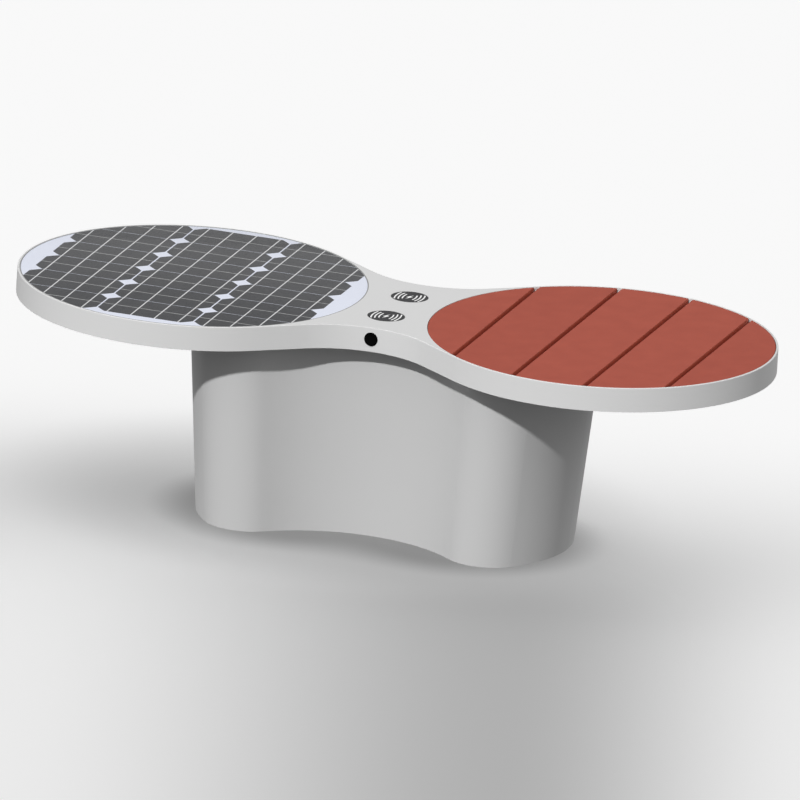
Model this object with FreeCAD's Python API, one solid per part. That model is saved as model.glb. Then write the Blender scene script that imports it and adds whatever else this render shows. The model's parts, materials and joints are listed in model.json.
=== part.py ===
import FreeCAD, Part
import math
import os
from FreeCAD import Vector

# Solar charging bench, in millimetres.
# +Z is up, +X runs from the solar panel to the seat, -Y is the front.
# The origin is on the ground, under the middle of the bench.

# Top, seen from above: two round lobes joined by a waist
seat_height = 450.0
rim_height = 50.0
lobe_radius = 354.0
lobe_gap = 152.0               # between the two lobes' circles
waist_half_width = 168.0
waist_straight = 116.0         # straight run between a lobe and the hollow of the waist
rim_wall = 3.0
rim_lip = 4.0                  # width of the rim's edge round each pocket
rim_edge_radius = 1.5
deck_thickness = 4.0
curb_wall = 3.0
curb_height = 21.0
curb_overlap = 0.5             # how far a curb runs into the rim's wall

# Pedestal, measured on the ground, and how much it has grown at its top
base_half_length = 385.0
base_half_width = 208.0
base_end_radius = 278.0
base_corner_radius = 88.0
base_waist_half_width = 109.0
base_waist_straight = 25.0
top_to_base_ratio = 1.088
shell_wall = 3.0
base_plate_thickness = 8.0
base_ring_width = 60.0
top_flange_thickness = 6.0
top_flange_width = 20.0
anchor_spacing_x = 500.0
anchor_spacing_y = 340.0
anchor_hole_radius = 7.0
plate_clearance = 0.2          # between plates and the shell that holds them

# Frame under the seat and the panel
pan_thickness = 3.0
bearer_width = 40.0
bearer_height = 20.0
bearer_wall = 2.0
bearer_inset = 11.3            # from the side of the pedestal's top to the middle of a bearer
bearer_end_gap = 4.2
spine_end_gap = 34.0           # from the end of the bench to the end of the spine
post_size = 30.0
post_offset = 40.0
bracket_width = 30.0
bracket_foot = 22.0
bracket_height = 17.0
bracket_sheet = 3.0
bracket_angles = (-100, -60, -20, 20, 60, 100)
fit_clearance = 0.2
tight_fit = 0.05
pin_fit = 0.03
running_fit = 0.06

# Seat boards
board_count = 5
board_width = 140.0
board_gap = 10.0
board_edge_clearance = 1.2
board_edge_radius = 1.5

# Solar panel
glass_thickness = 4.0
ribbon_thickness = 0.2
cell_thickness = 0.4
backsheet_thickness = 0.6
gasket_width = 2.0
gasket_clearance = 0.1
cell_columns = 3
cell_rows = 6
cell_pitch_x = 206.0
cell_pitch_y = 108.4
cell_seam_x = 3.0
cell_seam_y = 1.6
cell_chamfer = 18.0
cell_margin = 2.0
ribbons_per_cell = 4
ribbon_width = 2.2
junction_box_size = (60.0, 50.0, 16.0)
junction_box_radius = 4.0
junction_box_inset = (69.0, 60.0)    # from the panel lobe's inner edge and from the bench's long axis

# Charging pads
pad_offset = 75.0
pad_radius = 37.5
pad_gap = 0.5
pad_flange_radius = 44.0
pad_flange_thickness = 2.0
coil_outer_radius = 28.0
coil_inner_radius = 11.0
coil_thickness = 2.0
ferrite_radius = 31.0
ferrite_thickness = 1.5
housing_depth = 20.0
housing_wall = 2.5
ear_offset = 49.0
ear_radius = 6.0
ear_thickness = 4.0
stud_radius = 2.0
stud_length = 12.0
nut_height = 3.2
nut_across_flats = 7.0

# Socket in the front rim
socket_drop = 24.0             # below the seat
socket_flange_radius = 14.0
socket_flange_thickness = 2.2
socket_seat_depth = 0.8        # flat cut into the curved rim under the flange
socket_barrel_radius = 11.0
socket_barrel_length = 23.2
socket_bore_radius = 9.2
socket_back_radius = 10.5
socket_back_length = 10.0
socket_nut_radius = 15.0
socket_nut_height = 4.0
lid_radius = 12.0
lid_thickness = 2.0
lid_recess = 1.2
lid_thumb_rise = 2.4
lid_thumb_land = 1.0
lid_pivot_rise = 10.4
lid_pivot_stand_off = 0.9      # in front of the flange's face
lid_disc_drop = 2.2            # from the pivot down to the flat top of the disc
lid_arm_overlap = 1.0
lid_knuckle_radius = 1.7
lid_knuckle_half_width = 4.0
lid_knuckle_clearance = 0.4
lid_ear_width = 2.25
lid_side_gap = 0.15
lid_pin_radius = 0.8
spring_half_width = 1.7
spring_wire = 0.4
spring_turns = 5
spring_end_gap = 0.1
spring_clearance = 0.3
insert_recess = 1.0            # from the lid's seat back to the face of the ports
usb_a_slot = (12.5, 5.1, 10.0)
usb_a_tongue = (11.0, 1.9, 8.5)
usb_a_rise = 3.2
usb_c_slot = (9.0, 3.2, 8.0)
usb_c_tongue = (6.7, 0.8, 6.5)
usb_c_drop = 4.4

# Service hatch in the back of the waist
hatch_half_width = 112.0
hatch_bottom = 60.0
hatch_head = 60.0              # from the top of the hatch to the top of the pedestal
door_gap = 2.5
frame_depth = 10.0
frame_lip_thickness = 3.0
frame_lip_width = 14.0
frame_land = 12.0
seal_margin = 4.0
seal_width = 8.0
skin_clearance = 0.1
knuckle_radius = 5.5
knuckle_length = 18.0
knuckle_gap = 0.3
hinge_pin_radius = 2.5
hinge_cap = (5.0, 2.0)
hinge_stand_off = 6.5
hinge_leaf = 13.0
hinge_inset = 50.0             # from the top and bottom of the hatch
lock_inset = 28.0              # from the side of the hatch
lock_seat_depth = 0.3
lock_head_radius = 11.0
lock_head_thickness = 2.5
lock_barrel_radius = 9.0
lock_barrel_depth = 11.0
lock_nut_flats = 24.0
lock_nut_height = 4.0
lock_nut_gap = 0.5
lock_plug_radius = 5.5
lock_plug_recess = 0.3
key_slot = (1.6, 6.0, 3.0)
lock_cam_length = 24.0
lock_cam_width = 14.0
lock_cam_thickness = 2.5
lock_cam_clearance = 0.5

# Equipment behind the hatch
bracket_face_y = -93.0
bracket_head = 15.0            # from the top of the bracket to the top of the pedestal
bracket_plate = 3.0
battery_size = (229.0, 138.0, 208.0)
battery_edge_radius = 5.0
battery_gap_behind = 7.0
battery_lip = 18.0
shelf_margin = (25.5, 40.0)    # beside the battery and in front of it
upright_inset = 10.0           # from the side of the shelf to the side of the upright
terminal_radius = 7.0
terminal_height = 12.0
terminal_inset = (29.5, 27.0)
strap_width = 25.0
strap_thickness = 1.5
strap_tab = 20.0
controller_size = (140.0, 35.0, 80.0)
controller_place = (-90.0, 0.57)     # left side, and share of the free height that is below it
controller_fins = 5
converter_size = (60.0, 30.0, 70.0)
converter_place = (70.0, 0.27)
converter_fins = 4
fin_margin = 8.0
fin_depth = 6.0

# Leads: their size, and how far they run from their units before they bend
lead_diameter = 5.0
lead_grip = 5.0                # how far a lead reaches into its unit
lead_bend_share = 0.45         # share of its shorter run that a bend may use
lead_hole_clearance = 0.3
lead_hole_end_gap = 1.0
lead_stand_off = 17.0          # from the upright to the line of the leads on it
battery_lead_inset = (30.0, 100.0)   # from the controller's left side
converter_lead_inset = (10.0, 30.0, 52.0)
panel_lead_drop = 42.0
battery_lead_run = 30.0
battery_lead_level = 0.37            # share of the height between the battery and the controller
pad_lead_reach = 3.0                 # past the floor of a pad's housing
pad_lead_levels = (0.41, 0.62)       # shares of the height between the converter and the pan
socket_lead_levels = (0.35, 0.58)
socket_lead_run = 27.5
socket_lead_sink = 2.0
socket_lead_bend = (9.0, 36.0)       # from its grommet, towards the middle and the front
grommet_radius = 11.0
grommet_hole_radius = 8.0
grommet_lip = 2.0

# Fasteners
flange_bolt_radius = 4.0
flange_bolt_head = (13.0, 5.3)
flange_bolt_reach = 14.0
flange_bolt_inset = 11.0
flange_bolt_waist_x = 150.0
flange_bolt_to_bearer = 10.0
screw_radius = 2.5
screw_head_radius = 4.5
screw_head_height = 3.0
screw_bite = 16.0
screw_hole_clearance = 0.25
screw_end_gap = 0.5
driver_hole_radius = 6.0
end_screw_inset = 12.0
bolt_radius = 3.0
bolt_head = (10.0, 4.0)
bolt_clearance = 0.1
bracket_bolt_inset = (11.0, 10.0)
bracket_bolt_lift = 1.0        # end of the bolt above the ground

# How far a cutting solid runs past the faces it cuts
cut_past = 1.0

# Levels and places that follow from the sizes above
lobe_offset = lobe_radius + lobe_gap / 2
bearer_offset = base_half_width * top_to_base_ratio - bearer_inset
bearer_reach = lobe_radius - rim_wall - bearer_end_gap
bearer_half_length = math.sqrt(bearer_reach ** 2 - (bearer_offset + bearer_width / 2) ** 2)
spine_half_length = lobe_offset + lobe_radius - spine_end_gap
rim_bottom = seat_height - rim_height
deck_bottom = seat_height - deck_thickness
pan_top = rim_bottom + pan_thickness
bearer_top = pan_top + bearer_height
pocket_radius = lobe_radius - rim_lip
glass_bottom = seat_height - glass_thickness
cell_top = glass_bottom - ribbon_thickness
cell_bottom = cell_top - cell_thickness
laminate_bottom = cell_bottom - backsheet_thickness
glass_radius = pocket_radius - gasket_width - 2 * gasket_clearance
socket_height = seat_height - socket_drop
hatch_top = rim_bottom - hatch_head
hinge_heights = (hatch_bottom + hinge_inset, hatch_top - hinge_inset)
lock_x = hatch_half_width - lock_inset
lock_height = (hatch_bottom + hatch_top) / 2
door_half_width = hatch_half_width - door_gap
door_bottom = hatch_bottom + door_gap
door_top = hatch_top - door_gap

shelf_top = base_plate_thickness + bracket_plate
battery_half_x = battery_size[0] / 2
battery_front_y = bracket_face_y + battery_gap_behind
battery_rear_y = battery_front_y + battery_size[1]
battery_top = shelf_top + battery_size[2]
shelf_half_width = battery_half_x + shelf_margin[0]
shelf_rear_y = battery_rear_y + shelf_margin[1]
bracket_half_width = shelf_half_width - upright_inset
bracket_top = rim_bottom - bracket_head
controller_bottom = battery_top + controller_place[1] * (bracket_top - battery_top - controller_size[2])
converter_bottom = battery_top + converter_place[1] * (bracket_top - battery_top - converter_size[2])
converter_top = converter_bottom + converter_size[2]
terminal_x = battery_half_x - terminal_inset[0]
terminal_y = battery_rear_y - terminal_inset[1]
lead_radius = lead_diameter / 2
parts = {}


def box(x0, x1, y0, y1, z0, z1):
    return Part.makeBox(x1 - x0, y1 - y0, z1 - z0, Vector(x0, y0, z0))


def rod(radius, start, end):
    """Cylinder between two points."""
    axis = Vector(*end) - Vector(*start)
    return Part.makeCylinder(radius, axis.Length, Vector(*start), axis)


def ring(outer, inner, start, end):
    return rod(outer, start, end).cut(rod(inner, start, end))


def hexagon(across_flats, start, end, turn=0.0):
    """Six-sided prism between two points."""
    low = Vector(*start)
    axis = Vector(*end) - low
    radius = across_flats / math.sqrt(3)
    circle = Part.Circle(low, axis, radius)
    corners = [circle.value(math.radians(60 * i + turn)) for i in range(6)]
    return Part.Face(Part.makePolygon(corners + corners[:1])).extrude(axis)


def polygon_prism(points, run):
    """Prism of a closed flat outline, swept along a vector."""
    corners = [Vector(*p) for p in points]
    return Part.Face(Part.makePolygon(corners + corners[:1])).extrude(Vector(*run))


def upright_edges(shape):
    return [e for e in shape.Edges if e.BoundBox.ZLength > 0.9 * shape.BoundBox.ZLength]


def fuse(shapes):
    whole = shapes[0]
    for shape in shapes[1:]:
        whole = whole.fuse(shape)
    return whole.removeSplitter()


def lead_hole(mouth, inward):
    """Hole that a lead's end fits, from its mouth into the unit."""
    start = Vector(*mouth)
    end = start + Vector(*inward) * (lead_grip + lead_hole_end_gap)
    return rod(lead_radius + tight_fit, tuple(start), tuple(end))


class Outline:
    """Waisted plan, alike in all four quarters: end arc, corner arc, straight, hollow waist."""

    def __init__(self, half_length, end_radius, half_width, corner_radius, waist_half, straight):
        self.end_x = half_length - end_radius
        self.end_radius = end_radius
        self.corner_radius = corner_radius
        self.corner_y = half_width - corner_radius
        reach = max((end_radius - corner_radius) ** 2 - self.corner_y ** 2, 0.0)
        self.corner_x = self.end_x + math.sqrt(reach)
        narrowing = corner_radius - waist_half + self.corner_y
        room = self.corner_x ** 2 + (waist_half - self.corner_y) ** 2 - corner_radius ** 2
        self.waist_radius = (room - straight ** 2) / (2 * narrowing)
        self.waist_y = waist_half + self.waist_radius
        run = math.hypot(self.corner_x, self.waist_y - self.corner_y)
        lean = math.acos((corner_radius + self.waist_radius) / run)
        self.turn = math.atan2(self.waist_y - self.corner_y, -self.corner_x) - lean
        self.meet = math.atan2(self.corner_y, self.corner_x - self.end_x)

    def spans(self, inset, scale):
        """Points of each edge of the first quarter, from the end of the bench to the waist."""
        def point(x, y, radius, angle):
            return (x * scale + radius * math.cos(angle), y * scale + radius * math.sin(angle))
        end_r = self.end_radius * scale - inset
        corner_r = self.corner_radius * scale - inset
        waist_r = self.waist_radius * scale + inset
        spans = []
        if self.meet > 1e-6:
            spans.append([point(self.end_x, 0, end_r, a) for a in (0, self.meet / 2, self.meet)])
        middle = (self.meet + self.turn) / 2
        spans.append([point(self.corner_x, self.corner_y, corner_r, a)
                      for a in (self.meet, middle, self.turn)])
        arrive = self.turn - math.pi
        waist = [point(0, self.waist_y, waist_r, a)
                 for a in (arrive, (arrive - math.pi / 2) / 2, -math.pi / 2)]
        spans.append([spans[-1][-1], waist[0]])
        spans.append(waist)
        return spans

    def wire(self, z, inset=0.0, scale=1.0):
        quarter = self.spans(inset, scale)
        edges = []
        for sx, sy, backwards in ((1, 1, False), (-1, 1, True), (-1, -1, False), (1, -1, True)):
            run = quarter[::-1] if backwards else quarter
            for span in run:
                points = [Vector(sx * x, sy * y, z) for x, y in (span[::-1] if backwards else span)]
                if len(points) == 3:
                    edges.append(Part.Arc(*points).toShape())
                else:
                    edges.append(Part.LineSegment(*points).toShape())
        return Part.Wire(edges)

    def face(self, z, inset=0.0):
        return Part.Face(self.wire(z, inset))

    def slab(self, z0, z1, inset=0.0):
        return self.face(z0, inset).extrude(Vector(0, 0, z1 - z0))


top_plan = Outline(lobe_offset + lobe_radius, lobe_radius, lobe_radius, lobe_radius,
                   waist_half_width, waist_straight)
base_plan = Outline(base_half_length, base_end_radius, base_half_width, base_corner_radius,
                    base_waist_half_width, base_waist_straight)


def flare(z):
    """Size of the pedestal's plan at a height, against its plan on the ground."""
    return 1 + (top_to_base_ratio - 1) * z / rim_bottom


def pedestal_layer(z0, z1, inset):
    """Solid slice of the pedestal, set in from its outside."""
    wires = [base_plan.wire(z, inset, flare(z)) for z in (z0, z1)]
    return Part.makeLoft(wires, True, True)


def back_wall_y(x, z, inset=0.0):
    """Y of the pedestal's hollow back wall."""
    scale = flare(z)
    radius = base_plan.waist_radius * scale + inset
    return base_plan.waist_y * scale - math.sqrt(radius ** 2 - x ** 2)


def end_wall_x(y, z, inset):
    """X of the pedestal's wall at its end, from the bench's long axis to its corner."""
    scale = flare(z)
    end_r = base_plan.end_radius * scale - inset
    if y < end_r * math.sin(base_plan.meet):
        return base_plan.end_x * scale + math.sqrt(end_r ** 2 - y ** 2)
    corner_r = base_plan.corner_radius * scale - inset
    return base_plan.corner_x * scale + math.sqrt(corner_r ** 2 - (y - base_plan.corner_y * scale) ** 2)


def back_band(half_width, z0, z1, outer_inset, inner_inset):
    """Piece of the back wall between two depths below its outside."""
    outer = pedestal_layer(z0, z1, outer_inset)
    inner = pedestal_layer(z0 - cut_past, z1 + cut_past, inner_inset)
    window = box(-half_width, half_width, 0, base_half_width, z0, z1)
    return outer.cut(inner).common(window)


def lobe_disc(side, radius, z0, z1):
    return rod(radius, (side * lobe_offset, 0, z0), (side * lobe_offset, 0, z1))


# Leads: straight runs joined by arcs, each as large as its two runs allow
def lead(name, points):
    corners = [Vector(*p) for p in points]
    edges = []
    start = corners[0]
    radii = []
    for before, corner, after in zip(corners, corners[1:], corners[2:]):
        come = (corner - before).normalize()
        leave = (after - corner).normalize()
        turn = come.getAngle(leave)
        setback = lead_bend_share * min((corner - before).Length, (after - corner).Length)
        radius = setback / math.tan(turn / 2)
        radii.append(round(radius, 1))
        arc_in = corner - come * setback
        arc_out = corner + leave * setback
        inward = (leave - come).normalize()
        crown = corner + inward * (radius / math.cos(turn / 2) - radius)
        edges.append(Part.LineSegment(start, arc_in).toShape())
        edges.append(Part.Arc(arc_in, crown, arc_out).toShape())
        start = arc_out
    edges.append(Part.LineSegment(start, corners[-1]).toShape())
    path = Part.Wire(edges)
    section = Part.Wire(Part.makeCircle(lead_radius, corners[0], corners[1] - corners[0]))
    tube = path.makePipeShell([section], True, False)
    length = sum(edge.Length for edge in edges)
    print(name, "bend radii", radii, "length", round(length, 1),
          "volume ratio", round(tube.Volume / (length * math.pi * lead_radius ** 2), 4))
    return tube


pad_places = {"front": -pad_offset, "rear": pad_offset}


def ear_places(y):
    """Centres of a pad housing's three ears. The first one points to the middle of the bench."""
    towards_middle = 90 if y < 0 else -90
    angles = [math.radians(towards_middle + 120 * i) for i in range(3)]
    return [(ear_offset * math.cos(a), y + ear_offset * math.sin(a)) for a in angles]


# Top shell: rim, deck across the waist, curbs round the pockets and studs for the pad housings
def make_top_shell():
    outside = top_plan.face(deck_bottom)
    inside = top_plan.face(rim_bottom, rim_wall)
    skirt = top_plan.face(rim_bottom).cut(inside).extrude(Vector(0, 0, rim_height - deck_thickness))
    deck = outside.extrude(Vector(0, 0, deck_thickness))
    for side in (-1, 1):
        deck = deck.cut(lobe_disc(side, pocket_radius, deck_bottom, seat_height))
    shell = fuse([skirt, deck])
    top_edges = [e for e in shell.Edges if is_outer_edge(e, seat_height)]
    shell = shell.makeFillet(rim_edge_radius, top_edges)
    room = top_plan.slab(deck_bottom - curb_height, deck_bottom, rim_wall - curb_overlap)
    curb_reach = lobe_offset - lobe_radius * math.cos(math.pi - top_plan.turn) - waist_straight / 4
    room = room.common(box(-curb_reach, curb_reach, -lobe_radius, lobe_radius,
                           deck_bottom - curb_height, deck_bottom))
    pieces = [shell]
    for side in (-1, 1):
        curb = lobe_disc(side, pocket_radius + curb_wall, deck_bottom - curb_height, deck_bottom)
        curb = curb.cut(lobe_disc(side, pocket_radius, deck_bottom - curb_height, deck_bottom))
        pieces.append(curb.common(room))
    for y in pad_places.values():
        for x, ear_y in ear_places(y):
            pieces.append(rod(stud_radius, (x, ear_y, deck_bottom - stud_length), (x, ear_y, deck_bottom)))
    shell = fuse(pieces)
    for y in pad_places.values():
        shell = shell.cut(rod(pad_radius + pad_gap, (0, y, deck_bottom), (0, y, seat_height)))
    rim_y = -waist_half_width
    seat_y = rim_y + socket_seat_depth
    shell = shell.cut(rod(socket_flange_radius + fit_clearance,
                          (0, seat_y, socket_height), (0, rim_y - rim_wall, socket_height)))
    return shell.cut(rod(socket_barrel_radius + fit_clearance,
                         (0, rim_y + 2 * rim_wall, socket_height), (0, rim_y - rim_wall, socket_height)))


def is_outer_edge(edge, z):
    """True for an edge of the top's outline at a height, and not of a pocket."""
    span = edge.BoundBox
    if span.ZMin < z - 0.01 or span.ZMax > z + 0.01:
        return False
    first, last = edge.ParameterRange
    p = edge.valueAt((first + last) / 2)
    from_lobe = math.hypot(abs(p.x) - lobe_offset, p.y)
    return from_lobe > pocket_radius + rim_lip / 2


parts["top_shell"] = make_top_shell()

lead_holes = {
    "panel": (-lobe_gap / 2 - junction_box_inset[0], junction_box_inset[1]),
    "pad_front": (0.0, -pad_offset),
    "pad_rear": (0.0, pad_offset),
    "socket": (75.0, -88.0),
}


def flange_bolt_places():
    """Four bolts at the pedestal's corners and four along its waist."""
    depth = shell_wall + flange_bolt_inset
    nut_radius = flange_bolt_head[0] / math.sqrt(3)
    corner_y = bearer_offset - bearer_width / 2 - flange_bolt_to_bearer - nut_radius
    corner = (end_wall_x(corner_y, rim_bottom, depth), corner_y)
    waist = (flange_bolt_waist_x, back_wall_y(flange_bolt_waist_x, rim_bottom, depth))
    return [(sx * x, sy * y) for x, y in (corner, waist) for sx in (-1, 1) for sy in (-1, 1)]


def drill_bolts(shape, z0, z1):
    for x, y in flange_bolt_places():
        shape = shape.cut(rod(flange_bolt_radius + bolt_clearance, (x, y, z0), (x, y, z1)))
    return shape


# Pan that closes the underside of the top
def make_pan():
    pan = top_plan.slab(rim_bottom, pan_top, rim_wall + fit_clearance)
    for x, y in lead_holes.values():
        pan = pan.cut(rod(grommet_hole_radius, (x, y, rim_bottom), (x, y, pan_top)))
    return drill_bolts(pan, rim_bottom, pan_top)


parts["underside_pan"] = make_pan()


# Grommets where leads pass the pan
def make_grommets():
    grommets = []
    for x, y in lead_holes.values():
        low = rim_bottom - grommet_lip
        high = pan_top + grommet_lip
        body = rod(grommet_hole_radius - tight_fit, (x, y, low), (x, y, high))
        lips = [rod(grommet_radius, (x, y, z), (x, y, z + grommet_lip)) for z in (low, pan_top)]
        bore = rod(lead_radius + lead_hole_clearance, (x, y, low), (x, y, high))
        grommets.append(fuse([body] + lips).cut(bore))
    return Part.makeCompound(grommets)


parts["cable_grommets"] = make_grommets()


# Frame: rectangular tubes that lie on the pan
def tube_x(x0, x1, y):
    half = bearer_width / 2
    outer = box(x0, x1, y - half, y + half, pan_top, bearer_top)
    inner = box(x0, x1, y - half + bearer_wall, y + half - bearer_wall,
                pan_top + bearer_wall, bearer_top - bearer_wall)
    return outer.cut(inner)


board_pitch = board_width + board_gap
board_centres = [lobe_offset + (i - (board_count - 1) / 2) * board_pitch for i in range(board_count)]
board_radius = pocket_radius - board_edge_clearance


def screw_places():
    """Screws that hold the seat boards and the panel board down on the frame, from below."""
    places = [(x, 0.0) for x in board_centres]
    last_inner_edge = board_centres[-1] - lobe_offset - board_width / 2
    end_x = last_inner_edge + end_screw_inset
    across = [lobe_offset - end_x] + board_centres[1:-1] + [lobe_offset + end_x]
    for y in (-bearer_offset, bearer_offset):
        places += [(x, y) for x in across]
    for y in (-bearer_offset, 0.0, bearer_offset):
        places += [(-lobe_offset - board_pitch, y), (-lobe_offset + board_pitch, y)]
    return places


def drill_bearer(tube, y):
    for x, screw_y in screw_places():
        if abs(screw_y - y) < 1:
            hole = rod(screw_radius + screw_hole_clearance,
                       (x, y, bearer_top - bearer_wall), (x, y, bearer_top))
            access = rod(driver_hole_radius, (x, y, pan_top), (x, y, pan_top + bearer_wall))
            if tube.BoundBox.XMin < x < tube.BoundBox.XMax:
                tube = tube.cut(hole).cut(access)
    return tube


def make_bearers(side):
    centre = side * lobe_offset
    tubes = []
    for y in (-bearer_offset, bearer_offset):
        tubes.append(drill_bearer(tube_x(centre - bearer_half_length, centre + bearer_half_length, y), y))
    return Part.makeCompound(tubes)


parts["spine_beam"] = drill_bearer(tube_x(-spine_half_length, spine_half_length, 0.0), 0.0)
parts["seat_bearers"] = make_bearers(1)
parts["panel_bearers"] = make_bearers(-1)


# Posts between the spine and the deck
def make_posts():
    half = post_size / 2
    posts = []
    for x in (-post_offset, post_offset):
        outer = box(x - half, x + half, -half, half, bearer_top, deck_bottom)
        inner = box(x - half + bearer_wall, x + half - bearer_wall, -half + bearer_wall, half - bearer_wall,
                    bearer_top, deck_bottom)
        posts.append(outer.cut(inner))
    return Part.makeCompound(posts)


parts["deck_posts"] = make_posts()


# Angles on the pan that hold the rim
def make_rim_brackets():
    half = bracket_width / 2
    wall_radius = lobe_radius - rim_wall
    face = math.sqrt(wall_radius ** 2 - half ** 2) - fit_clearance
    foot = box(face - bracket_foot, face, -half, half, pan_top, pan_top + bracket_sheet)
    upright = box(face - bracket_sheet, face, -half, half, pan_top, pan_top + bracket_height)
    angle = foot.fuse(upright).removeSplitter()
    brackets = []
    for side in (-1, 1):
        outward = 0 if side > 0 else 180
        for turn in bracket_angles:
            piece = angle.copy()
            piece.rotate(Vector(0, 0, 0), Vector(0, 0, 1), outward + turn)
            piece.translate(Vector(side * lobe_offset, 0, 0))
            brackets.append(piece)
    return Part.makeCompound(brackets)


parts["rim_brackets"] = make_rim_brackets()


# Screws inside the tubes, heads under the top walls
def make_deck_screws():
    screws = []
    for x, y in screw_places():
        seat = bearer_top - bearer_wall
        head = rod(screw_head_radius, (x, y, seat - screw_head_height), (x, y, seat))
        shank = rod(screw_radius, (x, y, seat), (x, y, bearer_top + screw_bite))
        screws.append(fuse([head, shank]))
    return Part.makeCompound(screws)


parts["deck_screws"] = make_deck_screws()


def drill_pilots(shape):
    end = bearer_top + screw_bite + screw_end_gap
    for x, y in screw_places():
        shape = shape.cut(rod(screw_radius + tight_fit, (x, y, bearer_top), (x, y, end)))
    return shape


# Seat boards, their ends cut to the round pocket
for i, centre in enumerate(board_centres):
    plank = box(centre - board_width / 2, centre + board_width / 2, -lobe_radius, lobe_radius,
                bearer_top, seat_height)
    plank = plank.common(lobe_disc(1, board_radius, bearer_top, seat_height))
    rims = [e for e in plank.Edges if e.BoundBox.ZMin > seat_height - 0.01]
    parts["seat_plank_%d" % (i + 1)] = drill_pilots(plank.makeFillet(board_edge_radius, rims))

# Solar panel: board, backsheet, cells, ribbons, glass and gasket
parts["panel_support_board"] = drill_pilots(lobe_disc(-1, glass_radius, bearer_top, laminate_bottom))
parts["panel_backsheet"] = lobe_disc(-1, glass_radius, laminate_bottom, cell_bottom)
parts["panel_glass"] = lobe_disc(-1, glass_radius, glass_bottom, seat_height)


def make_gasket():
    outer = lobe_disc(-1, pocket_radius - gasket_clearance, laminate_bottom, seat_height)
    return outer.cut(lobe_disc(-1, glass_radius + gasket_clearance, laminate_bottom, seat_height))


parts["panel_gasket"] = make_gasket()


def cell_shape(x, y):
    """One half-cut cell with its corners cut off."""
    half_x = (cell_pitch_x - cell_seam_x) / 2
    half_y = (cell_pitch_y - cell_seam_y) / 2
    cut = cell_chamfer
    ends = [(half_x, half_y - cut), (half_x - cut, half_y)]
    quarter = ends + [(-px, py) for px, py in ends[::-1]]
    corners = quarter + [(-px, -py) for px, py in quarter]
    return polygon_prism([(x + px, y + py, cell_bottom) for px, py in corners], (0, 0, cell_thickness))


def make_cells():
    field = lobe_disc(-1, glass_radius - cell_margin, cell_bottom, cell_top)
    cells = []
    for column in range(cell_columns):
        x = -lobe_offset + (column - (cell_columns - 1) / 2) * cell_pitch_x
        for row in range(cell_rows):
            y = (row - (cell_rows - 1) / 2) * cell_pitch_y
            cells += cell_shape(x, y).common(field).Solids
    return Part.makeCompound(cells)


parts["solar_cells"] = make_cells()


def make_ribbons():
    field = lobe_disc(-1, glass_radius - cell_margin, cell_top, glass_bottom)
    pitch = cell_pitch_x / ribbons_per_cell
    count = cell_columns * ribbons_per_cell
    half_y = cell_rows * cell_pitch_y / 2
    ribbons = []
    for i in range(count):
        x = -lobe_offset + (i - (count - 1) / 2) * pitch
        strip = box(x - ribbon_width / 2, x + ribbon_width / 2, -half_y, half_y, cell_top, glass_bottom)
        ribbons += strip.common(field).Solids
    return Part.makeCompound(ribbons)


parts["cell_ribbons"] = make_ribbons()


def make_junction_box():
    length, width, height = junction_box_size
    x, y = lead_holes["panel"]
    body = box(x - length / 2, x + length / 2, y - width / 2, y + width / 2, bearer_top - height, bearer_top)
    body = body.makeFillet(junction_box_radius, upright_edges(body))
    return body.cut(lead_hole((x, y, bearer_top - height), (0, 0, 1)))


parts["junction_box"] = make_junction_box()


# Charging pads
def make_pad(name, y):
    flange_bottom = deck_bottom - pad_flange_thickness
    cover = fuse([rod(pad_radius, (0, y, deck_bottom), (0, y, seat_height)),
                  rod(pad_flange_radius, (0, y, flange_bottom), (0, y, deck_bottom))])
    parts["charger_cover_" + name] = cover
    coil_bottom = flange_bottom - coil_thickness
    parts["charger_coil_" + name] = ring(coil_outer_radius, coil_inner_radius,
                                         (0, y, coil_bottom), (0, y, flange_bottom))
    parts["charger_ferrite_" + name] = rod(ferrite_radius, (0, y, coil_bottom - ferrite_thickness),
                                           (0, y, coil_bottom))
    floor = flange_bottom - housing_depth
    cup = rod(pad_flange_radius, (0, y, floor), (0, y, flange_bottom))
    ears = []
    ear_top = flange_bottom
    ear_bottom = flange_bottom - ear_thickness
    for x, ear_y in ear_places(y):
        ears.append(rod(ear_radius, (x, ear_y, ear_bottom), (x, ear_y, deck_bottom)))
        web = box(0, ear_offset, -ear_radius, ear_radius, ear_bottom, ear_top)
        web.rotate(Vector(0, 0, 0), Vector(0, 0, 1), math.degrees(math.atan2(ear_y - y, x)))
        web.translate(Vector(0, y, 0))
        ears.append(web)
    cup = fuse([cup] + ears)
    cup = cup.cut(rod(pad_flange_radius + fit_clearance, (0, y, flange_bottom), (0, y, deck_bottom)))
    cup = cup.cut(rod(pad_flange_radius - housing_wall, (0, y, floor + housing_wall), (0, y, flange_bottom)))
    cup = cup.cut(rod(lead_radius + lead_hole_clearance, (0, y, floor), (0, y, floor + housing_wall)))
    for x, ear_y in ear_places(y):
        cup = cup.cut(rod(stud_radius + fit_clearance, (x, ear_y, ear_bottom), (x, ear_y, deck_bottom)))
    parts["charger_housing_" + name] = cup
    nuts = []
    for x, ear_y in ear_places(y):
        nut = hexagon(nut_across_flats, (x, ear_y, ear_bottom - nut_height), (x, ear_y, ear_bottom))
        nuts.append(nut.cut(rod(stud_radius + pin_fit, (x, ear_y, ear_bottom - nut_height),
                                (x, ear_y, ear_bottom))))
    return nuts


pad_nuts = []
for pad_name, pad_y in pad_places.items():
    pad_nuts += make_pad(pad_name, pad_y)
parts["charger_nuts"] = Part.makeCompound(pad_nuts)

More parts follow.
